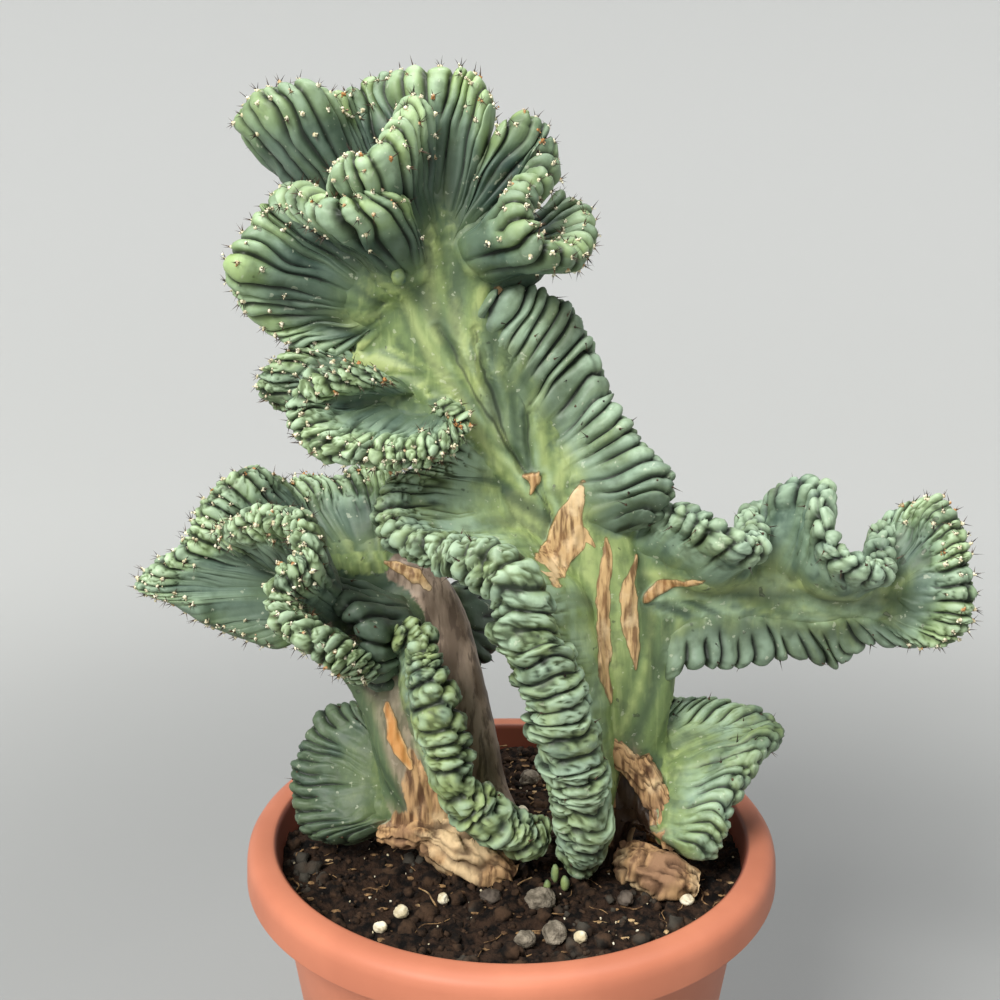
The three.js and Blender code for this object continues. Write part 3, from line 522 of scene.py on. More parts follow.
def build(name, points, faces, material, looks=None, smooth_shaded=True):
    """A mesh object from points in millimetres and lists of faces."""
    mesh = bpy.data.meshes.new(name)
    counts = np.concatenate([np.full(len(f), f.shape[1]) for f in faces])
    loops = np.concatenate([f.ravel() for f in faces])
    mesh.vertices.add(len(points))
    mesh.vertices.foreach_set("co", (np.asarray(points) * MM).astype(np.float32).ravel())
    mesh.loops.add(len(loops))
    mesh.loops.foreach_set("vertex_index", loops.astype(np.int32))
    mesh.polygons.add(len(counts))
    mesh.polygons.foreach_set("loop_start", (np.cumsum(counts) - counts).astype(np.int32))
    mesh.polygons.foreach_set("use_smooth", np.full(len(counts), smooth_shaded))
    mesh.update(calc_edges=True)
    mesh.validate()
    set_looks(mesh, looks or {})
    return shown(name, mesh, material)


def shown(name, mesh, material):
    mesh.materials.clear()
    mesh.materials.append(material)
    piece = bpy.data.objects.new(name, mesh)
    bpy.context.scene.collection.objects.link(piece)
    return piece


def joined(parts):
    """Several (points, faces) made into one."""
    points, faces, start = [], [], 0
    for part_points, part_faces in parts:
        points.append(part_points)
        faces += [f + start for f in part_faces]
        start += len(part_points)
    return np.concatenate(points), faces


def finish_piece(piece, node, slot=None):
    """Puts a piece in the place of a node, whose frame part is hidden. The slot argument is not used."""
    slot = slot or node
    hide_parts(node)
    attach(piece, "root")


# Crests


def crest_columns(crest, rng):
    """Everything known about each column of a crest before its thickness is added."""
    kind = {**KINDS[crest["kind"]], **crest.get("but", {})}
    t = np.linspace(0, 1, CREST_STEPS)
    line = spline(crest["crest"], t)
    length = np.concatenate([[0], np.cumsum(np.linalg.norm(np.diff(line, axis=0), axis=1))])
    ribs = max(3, round(length[-1] / kind["pitch"]))
    widths = rng.uniform(1 - kind["uneven"], 1 + kind["uneven"], ribs)
    edges = np.concatenate([[0], np.cumsum(widths)]) * length[-1] / widths.sum()
    rib = np.arange(ribs * COLUMNS_PER_RIB + 1) / COLUMNS_PER_RIB
    s = np.interp(rib, np.arange(ribs + 1), edges)
    at = np.interp(s, length, t)
    tip, foot = spline(crest["crest"], at), spline(crest["root"], at)
    ahead = (spline(crest["crest"], np.minimum(at + 1e-3, 1))
             - spline(crest["crest"], np.maximum(at - 1e-3, 0)))
    out = unit(tip - foot)
    side = unit(np.cross(unit(ahead), out))
    calm = np.maximum(0, 1 - np.abs(s[:, None] - s[None]) / CALM_REACH) @ side
    half = np.interp(at, np.linspace(0, 1, len(crest["half"])), crest["half"])
    end = np.minimum(s, length[-1] - s) / (0.9 * half)
    taper = np.sqrt(np.clip(1 - (1 - np.clip(end, 0, 1)) ** 2, 0.015, 1))
    tip = tip - out * ((1 - taper) * half * 0.8)[:, None]
    return {
        "kind": kind, "ribs": ribs, "rib": rib, "s": s, "half": half, "taper": taper,
        "tip": tip, "out": out, "side": side, "ahead": unit(ahead),
        "root_side": unit(calm - (calm * out).sum(1, keepdims=True) * out),
        "length": np.linalg.norm(tip - foot, axis=1), "widths": widths / widths.mean(),
        "root_half": crest.get("root_half", WEB_HALF),
        "dim": smooth(*crest["dim"], at) if "dim" in crest else 1 + 0 * at,
        "ribbed": 1 - smooth(*crest["plain"], at) if "plain" in crest else 1 + 0 * at,
    }


def web_half(cols, share):
    """Half the thickness of a crest's plain web, at a share of the way from tip to root."""
    return WEB_HALF + (cols["root_half"] - WEB_HALF) * smooth(0.4, 1, share)


def web_normal(cols, w):
    """Where a web faces: across its crest at w = 0, and calmer towards its root at w = 1."""
    return unit(cols["side"][:, None] * (1 - w) + cols["root_side"][:, None] * w)


def per_rib(values, place):
    """Values that belong to whole ribs, kept level over each rib and blended in between."""
    i = np.clip(np.floor(place).astype(int), 0, len(values) - 1)
    n = np.clip(i + 1, 0, len(values) - 1)
    w = smooth(0.3, 0.7, place - np.floor(place))
    return values[i] * (1 - w) + values[n] * w


def crease_depth(cols, d, shift, rng):
    """How deep the creases of one face are, for every column and every distance d from the tip."""
    kind, ribs = cols["kind"], cols["ribs"]
    wide = np.concatenate([[1], (cols["widths"][1:] + cols["widths"][:-1]) / 2, [1, 1]])
    deep = kind["depth"] * rng.uniform(0.8, 1.15, ribs + 2) * np.clip(wide, 0.7, 1.3)
    far = rng.uniform(*kind["reach"], ribs + 2)
    far[rng.random(ribs + 2) < kind["short"]] *= 0.4
    place = cols["rib"] - shift + 1
    k = np.clip(np.floor(place).astype(int), 0, ribs)
    x = (place - k)[:, None]
    total = 0
    for crease, away in ((k, 2 * x), (k + 1, 2 * (1 - x))):
        drop = 1 - np.sqrt(1 - (1 - np.clip(away, 0, 1)) ** 2)
        run = (far[crease] * cols["length"]).clip(9, None)[:, None]
        total = total + deep[crease][:, None] * drop * (1 - smooth(0.45, 1, d / run))
    return total * (0.12 + 0.88 * cols["ribbed"][:, None])


def sway(cols, q, seed):
    """How far the ribs wander to either side, at a distance q round the crest."""
    drift = noise(np.stack([cols["s"][:, None] + 0 * q, q, 0 * q], -1), 11, seed) - 0.5
    return cols["ahead"][:, None] * (4.4 * drift * cols["taper"][:, None])[..., None]


def crest_face(cols, d, sign, shift, seed, rng):
    """One face of a crest: where its points lie, their normals, creases and the ribs' tones."""
    kind, half, ribs = cols["kind"], cols["half"], cols["ribs"]
    place = cols["rib"] - shift + 0.5
    radius, band = (
        size * per_rib(rng.uniform(low, high, ribs + 2), place)[:, None]
        for size, low, high in ((half[:, None], 0.82, 1.13), (kind["band"] * half[:, None], 0.7, 1.25))
    )
    knot = kind["knots"] * per_rib(rng.random(ribs + 2) ** 2, place)[:, None]
    knot_at = per_rib(rng.uniform(5, 20, ribs + 2), place)[:, None]
    tone = per_rib(rng.random(ribs + 2), place)[:, None]
    crease = crease_depth(cols, d, shift, rng)
    e = (d - TIP_SHARE * half[:, None]) / band
    lipped = np.sqrt(np.clip(1 - np.clip(e, 0, 1) ** 2.2, 0, 1))
    bulge = kind["lip"] * lipped + (1 - kind["lip"]) * (1 - smooth(0, 1, e))
    share = d / cols["length"][:, None]
    web = web_half(cols, share) + 0.4 - 2.6 * smooth(0.66, 0.9, share)
    thick = web + (radius - web) * bulge + knot * np.exp(-(((d - knot_at) / 4.5) ** 2))
    fade = np.clip(thick / radius, 0.5, 1)
    thick = (thick - crease * fade).clip(0.7, None) * cols["taper"][:, None]
    normal = web_normal(cols, smooth(0.15, 0.85, share)[..., None])
    place = cols["tip"][:, None] - cols["out"][:, None] * d[..., None] + normal * (sign * thick)[..., None]
    wander = sway(cols, -sign * (1.57 * half[:, None] + d), seed)
    place = place + wander * (1 - smooth(0.6, 1, share))[..., None]
    return {"place": place, "normal": normal * sign, "crease": crease, "radius": radius,
            "tone": np.broadcast_to(tone, d.shape)}


def crest_top(cols, lean, left, right, seed):
    """The arc that joins both faces over the crest, with the groove along it."""
    kind, half, ribs = cols["kind"], cols["half"][:, None], cols["ribs"]
    theta = np.linspace(0, math.pi, TOP_STATIONS + 1)
    w = smooth(0.25, 0.75, theta / math.pi)
    radius = left["radius"] * (1 - w) + right["radius"] * w
    rng = np.random.default_rng(seed + 500)
    zig = per_rib(rng.uniform(0.08, 0.45, ribs + 2), cols["rib"] + 0.5) * kind["zig"]
    wander = 0.8 * (noise(cols["s"][:, None] * [1, 0, 0], 14, seed) - 0.5)
    line = (lean + wander - zig * np.cos(2 * math.pi * cols["rib"]))[:, None] * half
    q = (theta / math.pi - 0.5)[None] * math.pi * half
    on_left = 1 - smooth(-0.7, 0.7, q - line)
    crease = left["crease"][:, :1] * on_left + right["crease"][:, :1] * (1 - on_left)
    away = np.clip(np.abs(q - line) / (0.62 * half), 0, 1)
    groove = kind["groove"] * (1 - np.sqrt(1 - (1 - away) ** 2))
    for flank in (-1, 1):
        at = flank * per_rib(rng.uniform(0.45, 1.35, ribs + 2), cols["rib"] + 0.5)[:, None] * half
        deep = kind["split"] * per_rib(rng.random(ribs + 2), cols["rib"] + 0.5)[:, None]
        groove = np.maximum(groove, deep * np.exp(-(((q - at) / 1.1) ** 2)))
    groove = groove * cols["ribbed"][:, None]
    reach = (radius - crease - groove) * cols["taper"][:, None]
    normal = (cols["side"][:, None] * np.cos(theta)[None, :, None]
              + cols["out"][:, None] * np.sin(theta)[None, :, None])
    middle = cols["tip"] - cols["out"] * TIP_SHARE * half
    return {"place": middle[:, None] + normal * reach[..., None] + sway(cols, q, seed), "normal": normal,
            "crease": crease + 0.8 * groove,
            "tone": left["tone"][:, :1] * on_left + right["tone"][:, :1] * (1 - on_left)}


def sheet(crest, seed):
    """The ribbed skin of one crest, closed round its web, with the looks of every point."""
    rng = np.random.default_rng(seed)
    cols = crest_columns(crest, rng)
    kind, half, length = cols["kind"], cols["half"], cols["length"]
    start = TIP_SHARE * half
    near = np.minimum(1.35 * kind["band"] * half, 0.72 * (length - start))
    share = np.linspace(0, 1, FACE_STATIONS + 1)[1:]
    d = start[:, None] + near[:, None] * np.minimum(share / NEAR_SHARE, 1)
    d = d + (length - start - near)[:, None] * np.clip((share - NEAR_SHARE) / (1 - NEAR_SHARE), 0, 1)
    left = crest_face(cols, d, 1, 0.0, seed, rng)
    right = crest_face(cols, d, -1, 0.5 * kind["zig"], seed, rng)
    top = crest_top(cols, crest.get("lean", 0.0), left, right, seed)
    place, normal, crease, tone = (
        np.concatenate([left[key][:, ::-1], top[key], right[key]], 1)
        for key in ("place", "normal", "crease", "tone")
    )
    d = np.concatenate([d[:, ::-1], np.zeros((len(half), TOP_STATIONS + 1)), d], 1)
    share = d / length[:, None]
    ribbed = cols["ribbed"][:, None]
    crease = np.clip(crease / kind["depth"], 0, 1)
    fold = np.minimum(np.abs(noise(place, 4.4, seed) - 0.5),
                      1.3 * np.abs(noise(place, 2.9, seed + 7) - 0.5))
    fold = kind["pucker"] * (1 - smooth(0, 0.09, fold)) * (1 - smooth(0.3, 0.7, share)) * ribbed
    crease = np.maximum(crease, 0.6 * fold)
    swell = sum(high * (noise(place, size) - 0.5) for size, high in ((14.0, 1.6), (5.0, 1.4), (2.2, 0.5)))
    place = place + normal * ((swell - 0.9 * fold) * cols["taper"][:, None])[..., None]

    along = np.stack([np.broadcast_to(cols["s"][:, None], d.shape), d * 0.06, 0 * d], -1)
    streak = 0.6 * noise(along, 2.2, seed) + 0.4 * noise(along, 6.0, seed + 3)
    inner = smooth(0.3, 0.8, share)
    bloom = np.clip(1 - 1.7 * crease, 0, 1) * (1 - smooth(0.25, 0.85, share)) * kind["bloom"]
    # Painted shade on the flanks below the band and over the crests marked dark; the dark look also holds
    # dark streaks in the inner web
    shade = kind["shade"] * smooth(3, 15, d) * (1 - smooth(0.6, 0.9, share)) * ribbed
    shade = np.maximum(shade, crest.get("dark", 0.0) * cols["dim"][:, None])
    olive = 0.05 + 0.6 * smooth(0.45, 1.0, share) + 0.7 * (streak - 0.5)
    looks = {key: 0 * d for key in LOOKS}
    looks.update({
        "olive": np.clip(olive + kind["olive"] * smooth(0.25, 0.5, share), 0, 1),
        "vein": 0.7 * smooth(0.56, 0.76, streak) * smooth(0.4, 0.8, share),
        "crease": crease,
        "young": kind["young"] * (0.25 + 0.75 * tone) * (1 - smooth(1, 13, d)),
        "old": kind["old"] + 0 * d,
        "dark": np.maximum(shade, 0.8 * smooth(0.44, 0.28, streak) * inner * (0.4 + 0.6 * ribbed)),
        "pale": np.maximum(bloom, 0.1 * (1 - ribbed)),
        "tone": tone * (1 - inner) + 0.5 * inner,
        "relief": 2.0 * (streak - 0.5) * inner,
        "warm": crest.get("warm", 0.0) + 0 * d,
        # A painted highlight along the crest's edge
        "frost": (kind["frost"] * (1 - smooth(1, 8, d)) * np.clip(1 - 1.4 * crease, 0, 1)
                  * (0.4 + 0.6 * tone) * ribbed),
    })
    return {
        "points": place.reshape(-1, 3), "place": place, "normal": normal, "cols": cols, "deep": d > 1,
        "share": share.reshape(-1), "faces": tube_faces(*place.shape[:2]),
        "looks": {key: value.reshape(-1) for key, value in looks.items()},
    }


def tube_faces(columns, rows):
    """Faces of columns of points that are closed on themselves, with flat ends."""
    ends = [end_faces(0, rows, False), end_faces((columns - 1) * rows, rows, True)]
    return [grid_faces(columns, rows), *ends]


def web_core(crest):
    """The plain inside of a crest, from which the core of the plant is made."""
    cols = crest_columns(crest, np.random.default_rng(1))
    left, right = [], []
    for share in np.linspace(1, 0, WEB_STATIONS):
        d = cols["half"] * 0.5 * (1 - share) + cols["length"] * share
        middle = cols["tip"] - cols["out"] * d[:, None]
        thick = (web_half(cols, share) - 0.2 - 1.2 * smooth(0.7, 0.5, share)) * cols["taper"]
        push = web_normal(cols, smooth(0.15, 0.85, share))[:, 0] * thick[:, None]
        left.append(middle + push)
        right.append(middle - push)
    place = np.stack(left + right[::-1], 1)[::3]
    return place.reshape(-1, 3), tube_faces(*place.shape[:2])


# Stems and the core


def stem_surface(stations, sides=28, steps=60):
    """An oval tube through a stem's stations, with closed ends."""
    stations = np.array(stations, float)
    t = np.linspace(0, 1, steps)
    centre = spline(stations[:, :3], t)
    along = unit(np.gradient(centre, axis=0))
    across = unit(np.cross(np.array([0.0, 1.0, 0.0]), along))
    wide, deep = (np.interp(t, np.linspace(0, 1, len(stations)), stations[:, k])[:, None] for k in (3, 4))
    angle = turns(sides)
    place = (centre[:, None]
             + across[:, None] * (wide * np.cos(angle))[..., None]
             + np.cross(along, across)[:, None] * (deep * np.sin(angle))[..., None])
    points = np.concatenate([place.reshape(-1, 3), centre[:1], centre[-1:]])
    caps = [fan(i * (steps - 1) * sides, 1, sides, steps * sides + i, bool(i)) for i in (0, 1)]
    return points, [grid_faces(steps, sides)[:, ::-1], *caps]


def stem_samples(skin_kind, dark, stations, seed, sides=64, steps=120):
    """Points on a stem with the looks of its skin: streaks that fan out as they climb."""
    stations = np.array(stations, float)
    points = stem_surface(stations, sides, steps)[0][:-2]
    row, column = np.divmod(np.arange(sides * steps), sides)
    share = row / (steps - 1)
    along = share * np.linalg.norm(np.diff(stations[:, :3], axis=0), axis=1).sum()
    angle = column * 2 * math.pi / sides
    across = np.cos(angle) * np.interp(share, np.linspace(0, 1, len(stations)), stations[:, 3])
    flow = np.stack([np.abs(across) - 0.4 * along, 40 * np.sign(across), 40 * np.sign(np.sin(angle))], -1)
    broad = noise(flow, 7.0, seed + 3)
    streak = 0.55 * noise(flow, 1.7, seed) + 0.45 * broad
    looks = {key: np.zeros(len(points)) for key in LOOKS}
    looks["tone"] += 0.5
    looks["relief"] = 1.6 * (streak - 0.5) + 2.6 * (broad - 0.5)
    # Dark streaks, and the painted shade of stems marked dark
    looks["dark"] = np.maximum(smooth(0.46, 0.3, streak), dark)
    if skin_kind == "trunk":
        looks["olive"] = np.clip(0.62 + 1.3 * (streak - 0.5), 0, 1) * (1 - dark)
        looks["vein"] = smooth(0.47, 0.68, streak) * (1 - dark)
        looks["bark"] = smooth(190, 162, points[:, 2])
    elif skin_kind == "arm":
        looks["olive"] = np.clip(0.55 + 1.2 * (streak - 0.5), 0, 1)
        looks["pale"] += 0.8
        looks["vein"] = smooth(0.46, 0.66, streak)
    elif skin_kind == "grey":
        looks["grey"] += 1
    else:
        climb = points[:, 2] - 14 * np.cos(angle)
        # On one side the stem shows green skin instead of bark, darkened there with painted shade
        edge = smooth(-0.2, -0.65, np.cos(angle)) * smooth(162, 172, points[:, 2])
        looks["bark"] = smooth(202, 160, climb) * (1 - edge)
        looks["grey"] = 0.75 * smooth(226, 196, climb) * (1 - edge)
        looks["dark"] = np.maximum(looks["dark"], 0.6 * edge)
        looks["olive"] += 0.4
    return points, looks


def ribbon_depth(x, z, ribbon, front=True):
    """How far points (x, z) of the front lie inside a ribbon of (x, z, width) stations."""
    best = np.full(len(x), -1e3)
    for (ax, az, aw), (bx, bz, bw) in zip(ribbon, ribbon[1:]):
        dx, dz = bx - ax, bz - az
        t = np.clip(((x - ax) * dx + (z - az) * dz) / (dx * dx + dz * dz), 0, 1)
        away = np.hypot(x - ax - t * dx, z - az - t * dz)
        best = np.maximum(best, (aw + (bw - aw) * t) / 2 - away)
    return np.where(front, best, -9)


def remeshed(parts, voxel, softening):
    """One closed skin round several closed shapes, its edges softened."""
    rough = build("rough", *joined(parts), materials["skin"])
    remesh = rough.modifiers.new("remesh", "REMESH")
    remesh.mode = "VOXEL"
    remesh.voxel_size = voxel * MM
    rough.modifiers.new("soften", "SMOOTH").iterations = softening
    graph = bpy.context.evaluated_depsgraph_get()
    mesh = bpy.data.meshes.new_from_object(rough.evaluated_get(graph))
    bpy.data.objects.remove(rough)
    return mesh


def wandering(place):
    """Where points lie across and up, a little out of true, for marks with uneven edges."""
    wobble = [9 * (noise(place, 12.0, k) - 0.5) + 2.2 * (noise(place, 2.8, k) - 0.5) for k in (1, 2)]
    return place[:, 0] + 0.4 * wobble[0], place[:, 2] + 0.4 * wobble[1]


def scarring(x, z, front):
    """How scarred and how rusty points are."""
    scar, rust = np.zeros(len(x)), np.zeros(len(x))
    for ribbon, warm in SCARS:
        inside = ribbon_depth(x, z, ribbon, front)
        scar = np.maximum(scar, np.clip(0.5 + inside / 6, 0, 1))
        rust = np.maximum(rust, warm * smooth(-0.5, 1, inside))
    return scar, rust


def split_front(mesh):
    """Splits the core's faces where the bare front of the trunk shows, and again along its marks."""
    made = bmesh.new()
    made.from_mesh(mesh)
    (x0, x1), (z0, z1) = FRONT_ACROSS, FRONT_UP
    marks = GROOVES + VEINS + [ribbon for ribbon, _ in SCARS] + HOLLOWS
    for along_marks in (False, True):
        faces = [face for face in made.faces if face.normal.y < 0.15]
        middle = np.array([face.calc_center_median() for face in faces]) / MM
        x, y, z = middle.T
        pick = (x0 < x) & (x < x1) & (z0 < z) & (z < z1) & (y < np.where(x < LEFT_OF_TRUNK, 18, 6))
        if along_marks:
            x, z = wandering(middle)
            pick &= np.max([ribbon_depth(x, z, ribbon) for ribbon in marks], 0) > -1.6
        edges = {edge for i in np.nonzero(pick)[0] for edge in faces[i].edges}
        bmesh.ops.subdivide_edges(made, edges=list(edges), cuts=1, use_grid_fill=True)
    made.to_mesh(mesh)
    made.free()


def three_numbers(values, key):
    found = np.zeros(len(values) * 3, np.float32)
    values.foreach_get(key, found)
    return found.reshape(-1, 3).astype(float)


def nearest_looks(place, samples, table):
    """The looks of the nearest samples, blended at every place."""
    tree = KDTree(len(samples))
    for i, p in enumerate(samples):
        tree.insert(p, i)
    tree.balance()
    found = [tree.find_n(p, 4) for p in place]
    index, away = (np.array([[f[k] for f in row] for row in found]) for k in (1, 2))
    weight = 1 / (0.4 + away) ** 2
    return (table[index] * weight[..., None]).sum(1) / weight.sum(1)[:, None]


def table_of(looks, pick=slice(None)):
    return np.stack([looks[key][pick] for key in LOOKS], 1)


def core_piece(sheets):
    """Stems and plain webs grown together, with streaks, grooves, veins and scars."""
    parts = [stem_surface(stations) for _, _, stations in STEMS.values()]
    parts += [web_core(crest) for crest in CRESTS.values()]
    mesh = remeshed(parts, CORE_VOXEL, 10)
    split_front(mesh)
    place = three_numbers(mesh.vertices, "co") / MM
    normal = three_numbers(mesh.vertex_normals, "vector")

    samples, looks = [], []
    for made in sheets:
        pick = np.zeros(made["deep"].shape, bool)
        pick[::2] = made["deep"][::2]
        pick = pick.reshape(-1)
        samples.append(made["points"][pick])
        looks.append(table_of(made["looks"], pick))
    for seed, stem in enumerate(STEMS.values()):
        points, stem_looks = stem_samples(*stem, seed)
        samples.append(points)
        looks.append(table_of(stem_looks))
    value = dict(zip(LOOKS, nearest_looks(place, np.concatenate(samples), np.concatenate(looks)).T))
    x, z = wandering(place)
    front = (normal[:, 1] < 0.25) & (place[:, 1] < np.where(place[:, 0] < LEFT_OF_TRUNK, 18, 4))
    push = 0.85 * value["relief"] * (1 - value["grey"]) - 1.3 * value["crease"]
    value["crease"] *= 0.55
    value["hollow"] = np.zeros(len(x))
    for ribbons, key, most, low, high, rise, rise_low, rise_high in MARKS:
        for ribbon in ribbons:
            inside = ribbon_depth(x, z, ribbon, front)
            value[key] = np.maximum(value[key], most * smooth(low, high, inside))
            push = push + rise * smooth(rise_low, rise_high, inside)
            # Each plain groove's rim gets a painted highlight
            if ribbons is GROOVES:
                rim = smooth(-4, -2, inside) * smooth(-0.4, -1.5, inside)
                value["pale"] = np.maximum(value["pale"], 0.5 * rim)
    push = push - 4 * value["hollow"]
    scar, rust = scarring(x, z, front)
    crumple = noise(place * [1, 1, 0.35], 2.0) - 0.5
    push = push * (1 - smooth(0.4, 0.6, scar)) + smooth(0.44, 0.6, scar) * (0.5 + 1.4 * crumple)
    push = push + 2.0 * crumple * smooth(0.3, 0.7, value["bark"])
    place = place + normal * push[:, None]
    mesh.vertices.foreach_set("co", (place * MM).astype(np.float32).ravel())
    mesh.update()
    for made in sheets:
        near = made["share"] > 0.5
        w = smooth(0.5, 0.7, made["share"][near])
        found = nearest_looks(made["points"][near], place[::2], table_of(value)[::2])
        for i, key in enumerate(LOOKS):
            made["looks"][key][near] = (1 - w) * made["looks"][key][near] + w * found[:, i]
        x, z = wandering(made["points"])
        facing = near & (made["normal"].reshape(-1, 3)[:, 1] < 0.25) & (made["points"][:, 1] < 4)
        made["looks"]["scar"], made["looks"]["rust"] = scarring(x, z, facing)
    set_looks(mesh, {**value, "scar": scar, "rust": rust})
    mesh.polygons.foreach_set("use_smooth", np.ones(len(mesh.polygons), bool))
    finish_piece(shown("cactus_core", mesh, materials["skin"]), "cactus")


def bark_piece():
    """Loose slabs of dry bark, the flaring base and the knot of old roots."""
    parts, clefts = [], []
    sides, steps = 56, 80
    for i, (rough, stations) in enumerate(SLABS):
        points, faces = stem_surface(stations, sides, steps)
        rows = points[:-2].reshape(steps, sides, 3)
        along, angle = np.meshgrid(np.arange(steps) / 14, turns(sides), indexing="ij")
        spot = np.stack([2.3 * np.cos(angle), 2.3 * np.sin(angle), along], -1)
        cleft = 1 - smooth(0, 0.13, np.abs(noise(spot, 1.0, 3 * i) - 0.5))
        swell = noise(spot, 0.9, 3 * i + 11) - 0.5
        radial = rows - rows.mean(1, keepdims=True)
        rows = rows + radial * (rough * (0.5 * swell - 0.24 * cleft))[..., None]
        points = np.vstack([rows.reshape(-1, 3), points[-2:]])
        fine = [noise(points * [1, 1, 0.5], 1.4, 5 * i + k) - 0.5 for k in range(3)]
        parts.append((points + rough * np.stack(fine, 1), faces))
        clefts.append(np.concatenate([cleft.ravel(), [1, 1]]))
    # The clefts are darkened with painted shade in the bark material
    looks = {"crease": np.concatenate(clefts)}
    finish_piece(build("bark", *joined(parts), materials["bark"], looks), "cactus")


# Looks


def colour(*rgb):
    """A colour given as it shows on a screen, 0 to 255."""
    linear = [((v / 255 + 0.055) / 1.055) ** 2.4 if v > 10 else v / 255 / 12.92 for v in rgb]
    return (*linear, 1.0)


class Shader:
    """A small helper that strings shader nodes together."""

    def __init__(self, name, roughness=0.6, specular=0.3):
        self.material = bpy.data.materials.new(name)
        self.material.use_nodes = True
        self.tree = self.material.node_tree
        self.main = self.tree.nodes["Principled BSDF"]
        self.main.inputs["Roughness"].default_value = roughness
        self.main.inputs["Specular IOR Level"].default_value = specular
        self.where = self.node("ShaderNodeTexCoord").outputs["Object"]

    def node(self, kind, sockets=(), **settings):
        """A new node with its settings, and with numbers, colours or links put into its sockets."""
        made = self.tree.nodes.new(kind)
        for key, value in settings.items():
            setattr(made, key, value)
        for key, value in dict(sockets).items():
            if isinstance(value, (int, float, tuple)):
                made.inputs[key].default_value = value
            else:
                self.tree.links.new(value, made.inputs[key])
        return made

    def attribute(self, name):
        """What a point is told under this name."""
        return self.node("ShaderNodeAttribute", attribute_name=name).outputs["Fac"]

    def noise(self, scale, detail=4.0, stretch=(1, 1, 1)):
        mapping = self.node("ShaderNodeMapping", {"Vector": self.where, "Scale": stretch})
        vector = mapping.outputs["Vector"]
        made = self.node("ShaderNodeTexNoise", {"Vector": vector, "Scale": scale, "Detail": detail})
        return made.outputs["Fac"]

    def ramp(self, value, low, high):
        sockets = {"Value": value, "From Min": low, "From Max": high}
        return self.node("ShaderNodeMapRange", sockets, interpolation_type="SMOOTHSTEP").outputs["Result"]

    def patches(self, scale, detail, low, high, stretch=(1, 1, 1)):
        """Noise that is 0 where it is under low and 1 where it is over high."""
        return self.ramp(self.noise(scale, detail, stretch), low, high)

    def maths(self, how, a, b, clamp=True):
        return self.node("ShaderNodeMath", {0: a, 1: b}, operation=how, use_clamp=clamp).outputs[0]

    def times(self, a, b):
        return self.maths("MULTIPLY", a, b)

    def mix(self, amount, under, over):
        return self.node("ShaderNodeMix", {0: amount, 6: under, 7: over}, data_type="RGBA").outputs[2]

    def factor(self, what):
        """The value that a row of COATS names."""
        if isinstance(what, str):
            return self.attribute(what)
        if isinstance(what[0], str):
            return self.ramp(self.attribute(what[0]), *what[1:])
        return self.patches(*what)

    def coat(self, base, rgb, strength, *factors):
        """A colour laid over base, where all its factors are high."""
        amount = self.factor(factors[0])
        for what in factors[1:]:
            amount = self.times(amount, self.factor(what))
        return self.mix(self.times(amount, strength) if strength < 1 else amount, base, colour(*rgb))

    def bark(self):
        """Dry bark: pale ridges, brown clefts and lighter, peeled spots."""
        strands = self.noise(170, 6, (2.6, 2.6, 0.35))
        base = self.mix(self.ramp(strands, 0.34, 0.58), colour(88, 62, 42), colour(184, 148, 106))
        base = self.coat(base, (216, 188, 146), 1, (60, 5, 0.5, 0.66))
        return self.coat(base, (140, 108, 82), 1, (40, 5, 0.52, 0.66)), strands

    def finish(self, base, height=None, distance=0.0005, strength=0.5):
        self.tree.links.new(base, self.main.inputs["Base Color"])
        if height is not None:
            sockets = {"Height": height, "Distance": distance, "Strength": strength}
            bump = self.node("ShaderNodeBump", sockets).outputs["Normal"]
            self.tree.links.new(bump, self.main.inputs["Normal"])
        return self.material


def skin_material():
    """Living skin under its coats, some of which are painted highlight and painted shade, and over it
    grey bark, dry bark, scars and painted shade in the hollows.
    """
    s = Shader("skin", 0.5)
    base = s.mix(s.patches(45, 3, 0.35, 0.7), colour(54, 76, 70), colour(84, 108, 95))
    for coat in COATS:
        base = s.coat(base, *coat)
    grey = s.mix(s.patches(60, 5, 0.35, 0.65, (3, 3, 0.6)), colour(112, 96, 82), colour(172, 152, 134))
    grey = s.coat(grey, (78, 64, 54), 0.7, (240, 5, 0.5, 0.62, (1.8, 1.8, 0.3)))
    base = s.mix(s.attribute("grey"), base, grey)
    dry, strands = s.bark()
    ragged = s.maths("SUBTRACT", s.noise(110, 5, (1, 1, 0.3)), 0.5, False)
    dry_here = s.maths("ADD", s.attribute("bark"), s.maths("MULTIPLY", ragged, 1.6, False))
    dry_here = s.ramp(dry_here, 0.44, 0.56)
    base = s.mix(dry_here, base, dry)
    scar = s.mix(s.patches(260, 6, 0.36, 0.6, (2.6, 2.6, 0.3)), colour(116, 88, 58), colour(194, 162, 116))
    scar = s.coat(scar, (212, 186, 146), 1, (120, 4, 0.5, 0.7))
    scar = s.coat(scar, (190, 130, 68), 0.8, "rust")
    edge = s.times(s.maths("SUBTRACT", s.noise(260), 0.5), 0.4)
    torn = s.maths("ADD", s.attribute("scar"), edge)
    base = s.mix(s.times(s.ramp(torn, 0.44, 0.5), 0.7), base, colour(104, 82, 48))
    base = s.mix(s.ramp(torn, 0.5, 0.53), base, scar)
    # Painted shade in the hollows
    base = s.coat(base, (34, 22, 16), 0.92, "hollow")
    height = s.maths("ADD", s.times(s.noise(420, 3), 0.4), s.times(strands, dry_here))
    height = s.maths("ADD", height, s.times(s.noise(1100, 3), 0.2))
    return s.finish(base, height, 0.0006, 0.45)


def bark_material():
    s = Shader("bark", 0.85, 0.2)
    base, strands = s.bark()
    # Painted shade in the clefts
    return s.finish(s.coat(base, (60, 40, 28), 0.85, "crease"), strands, 0.0012, 0.8)


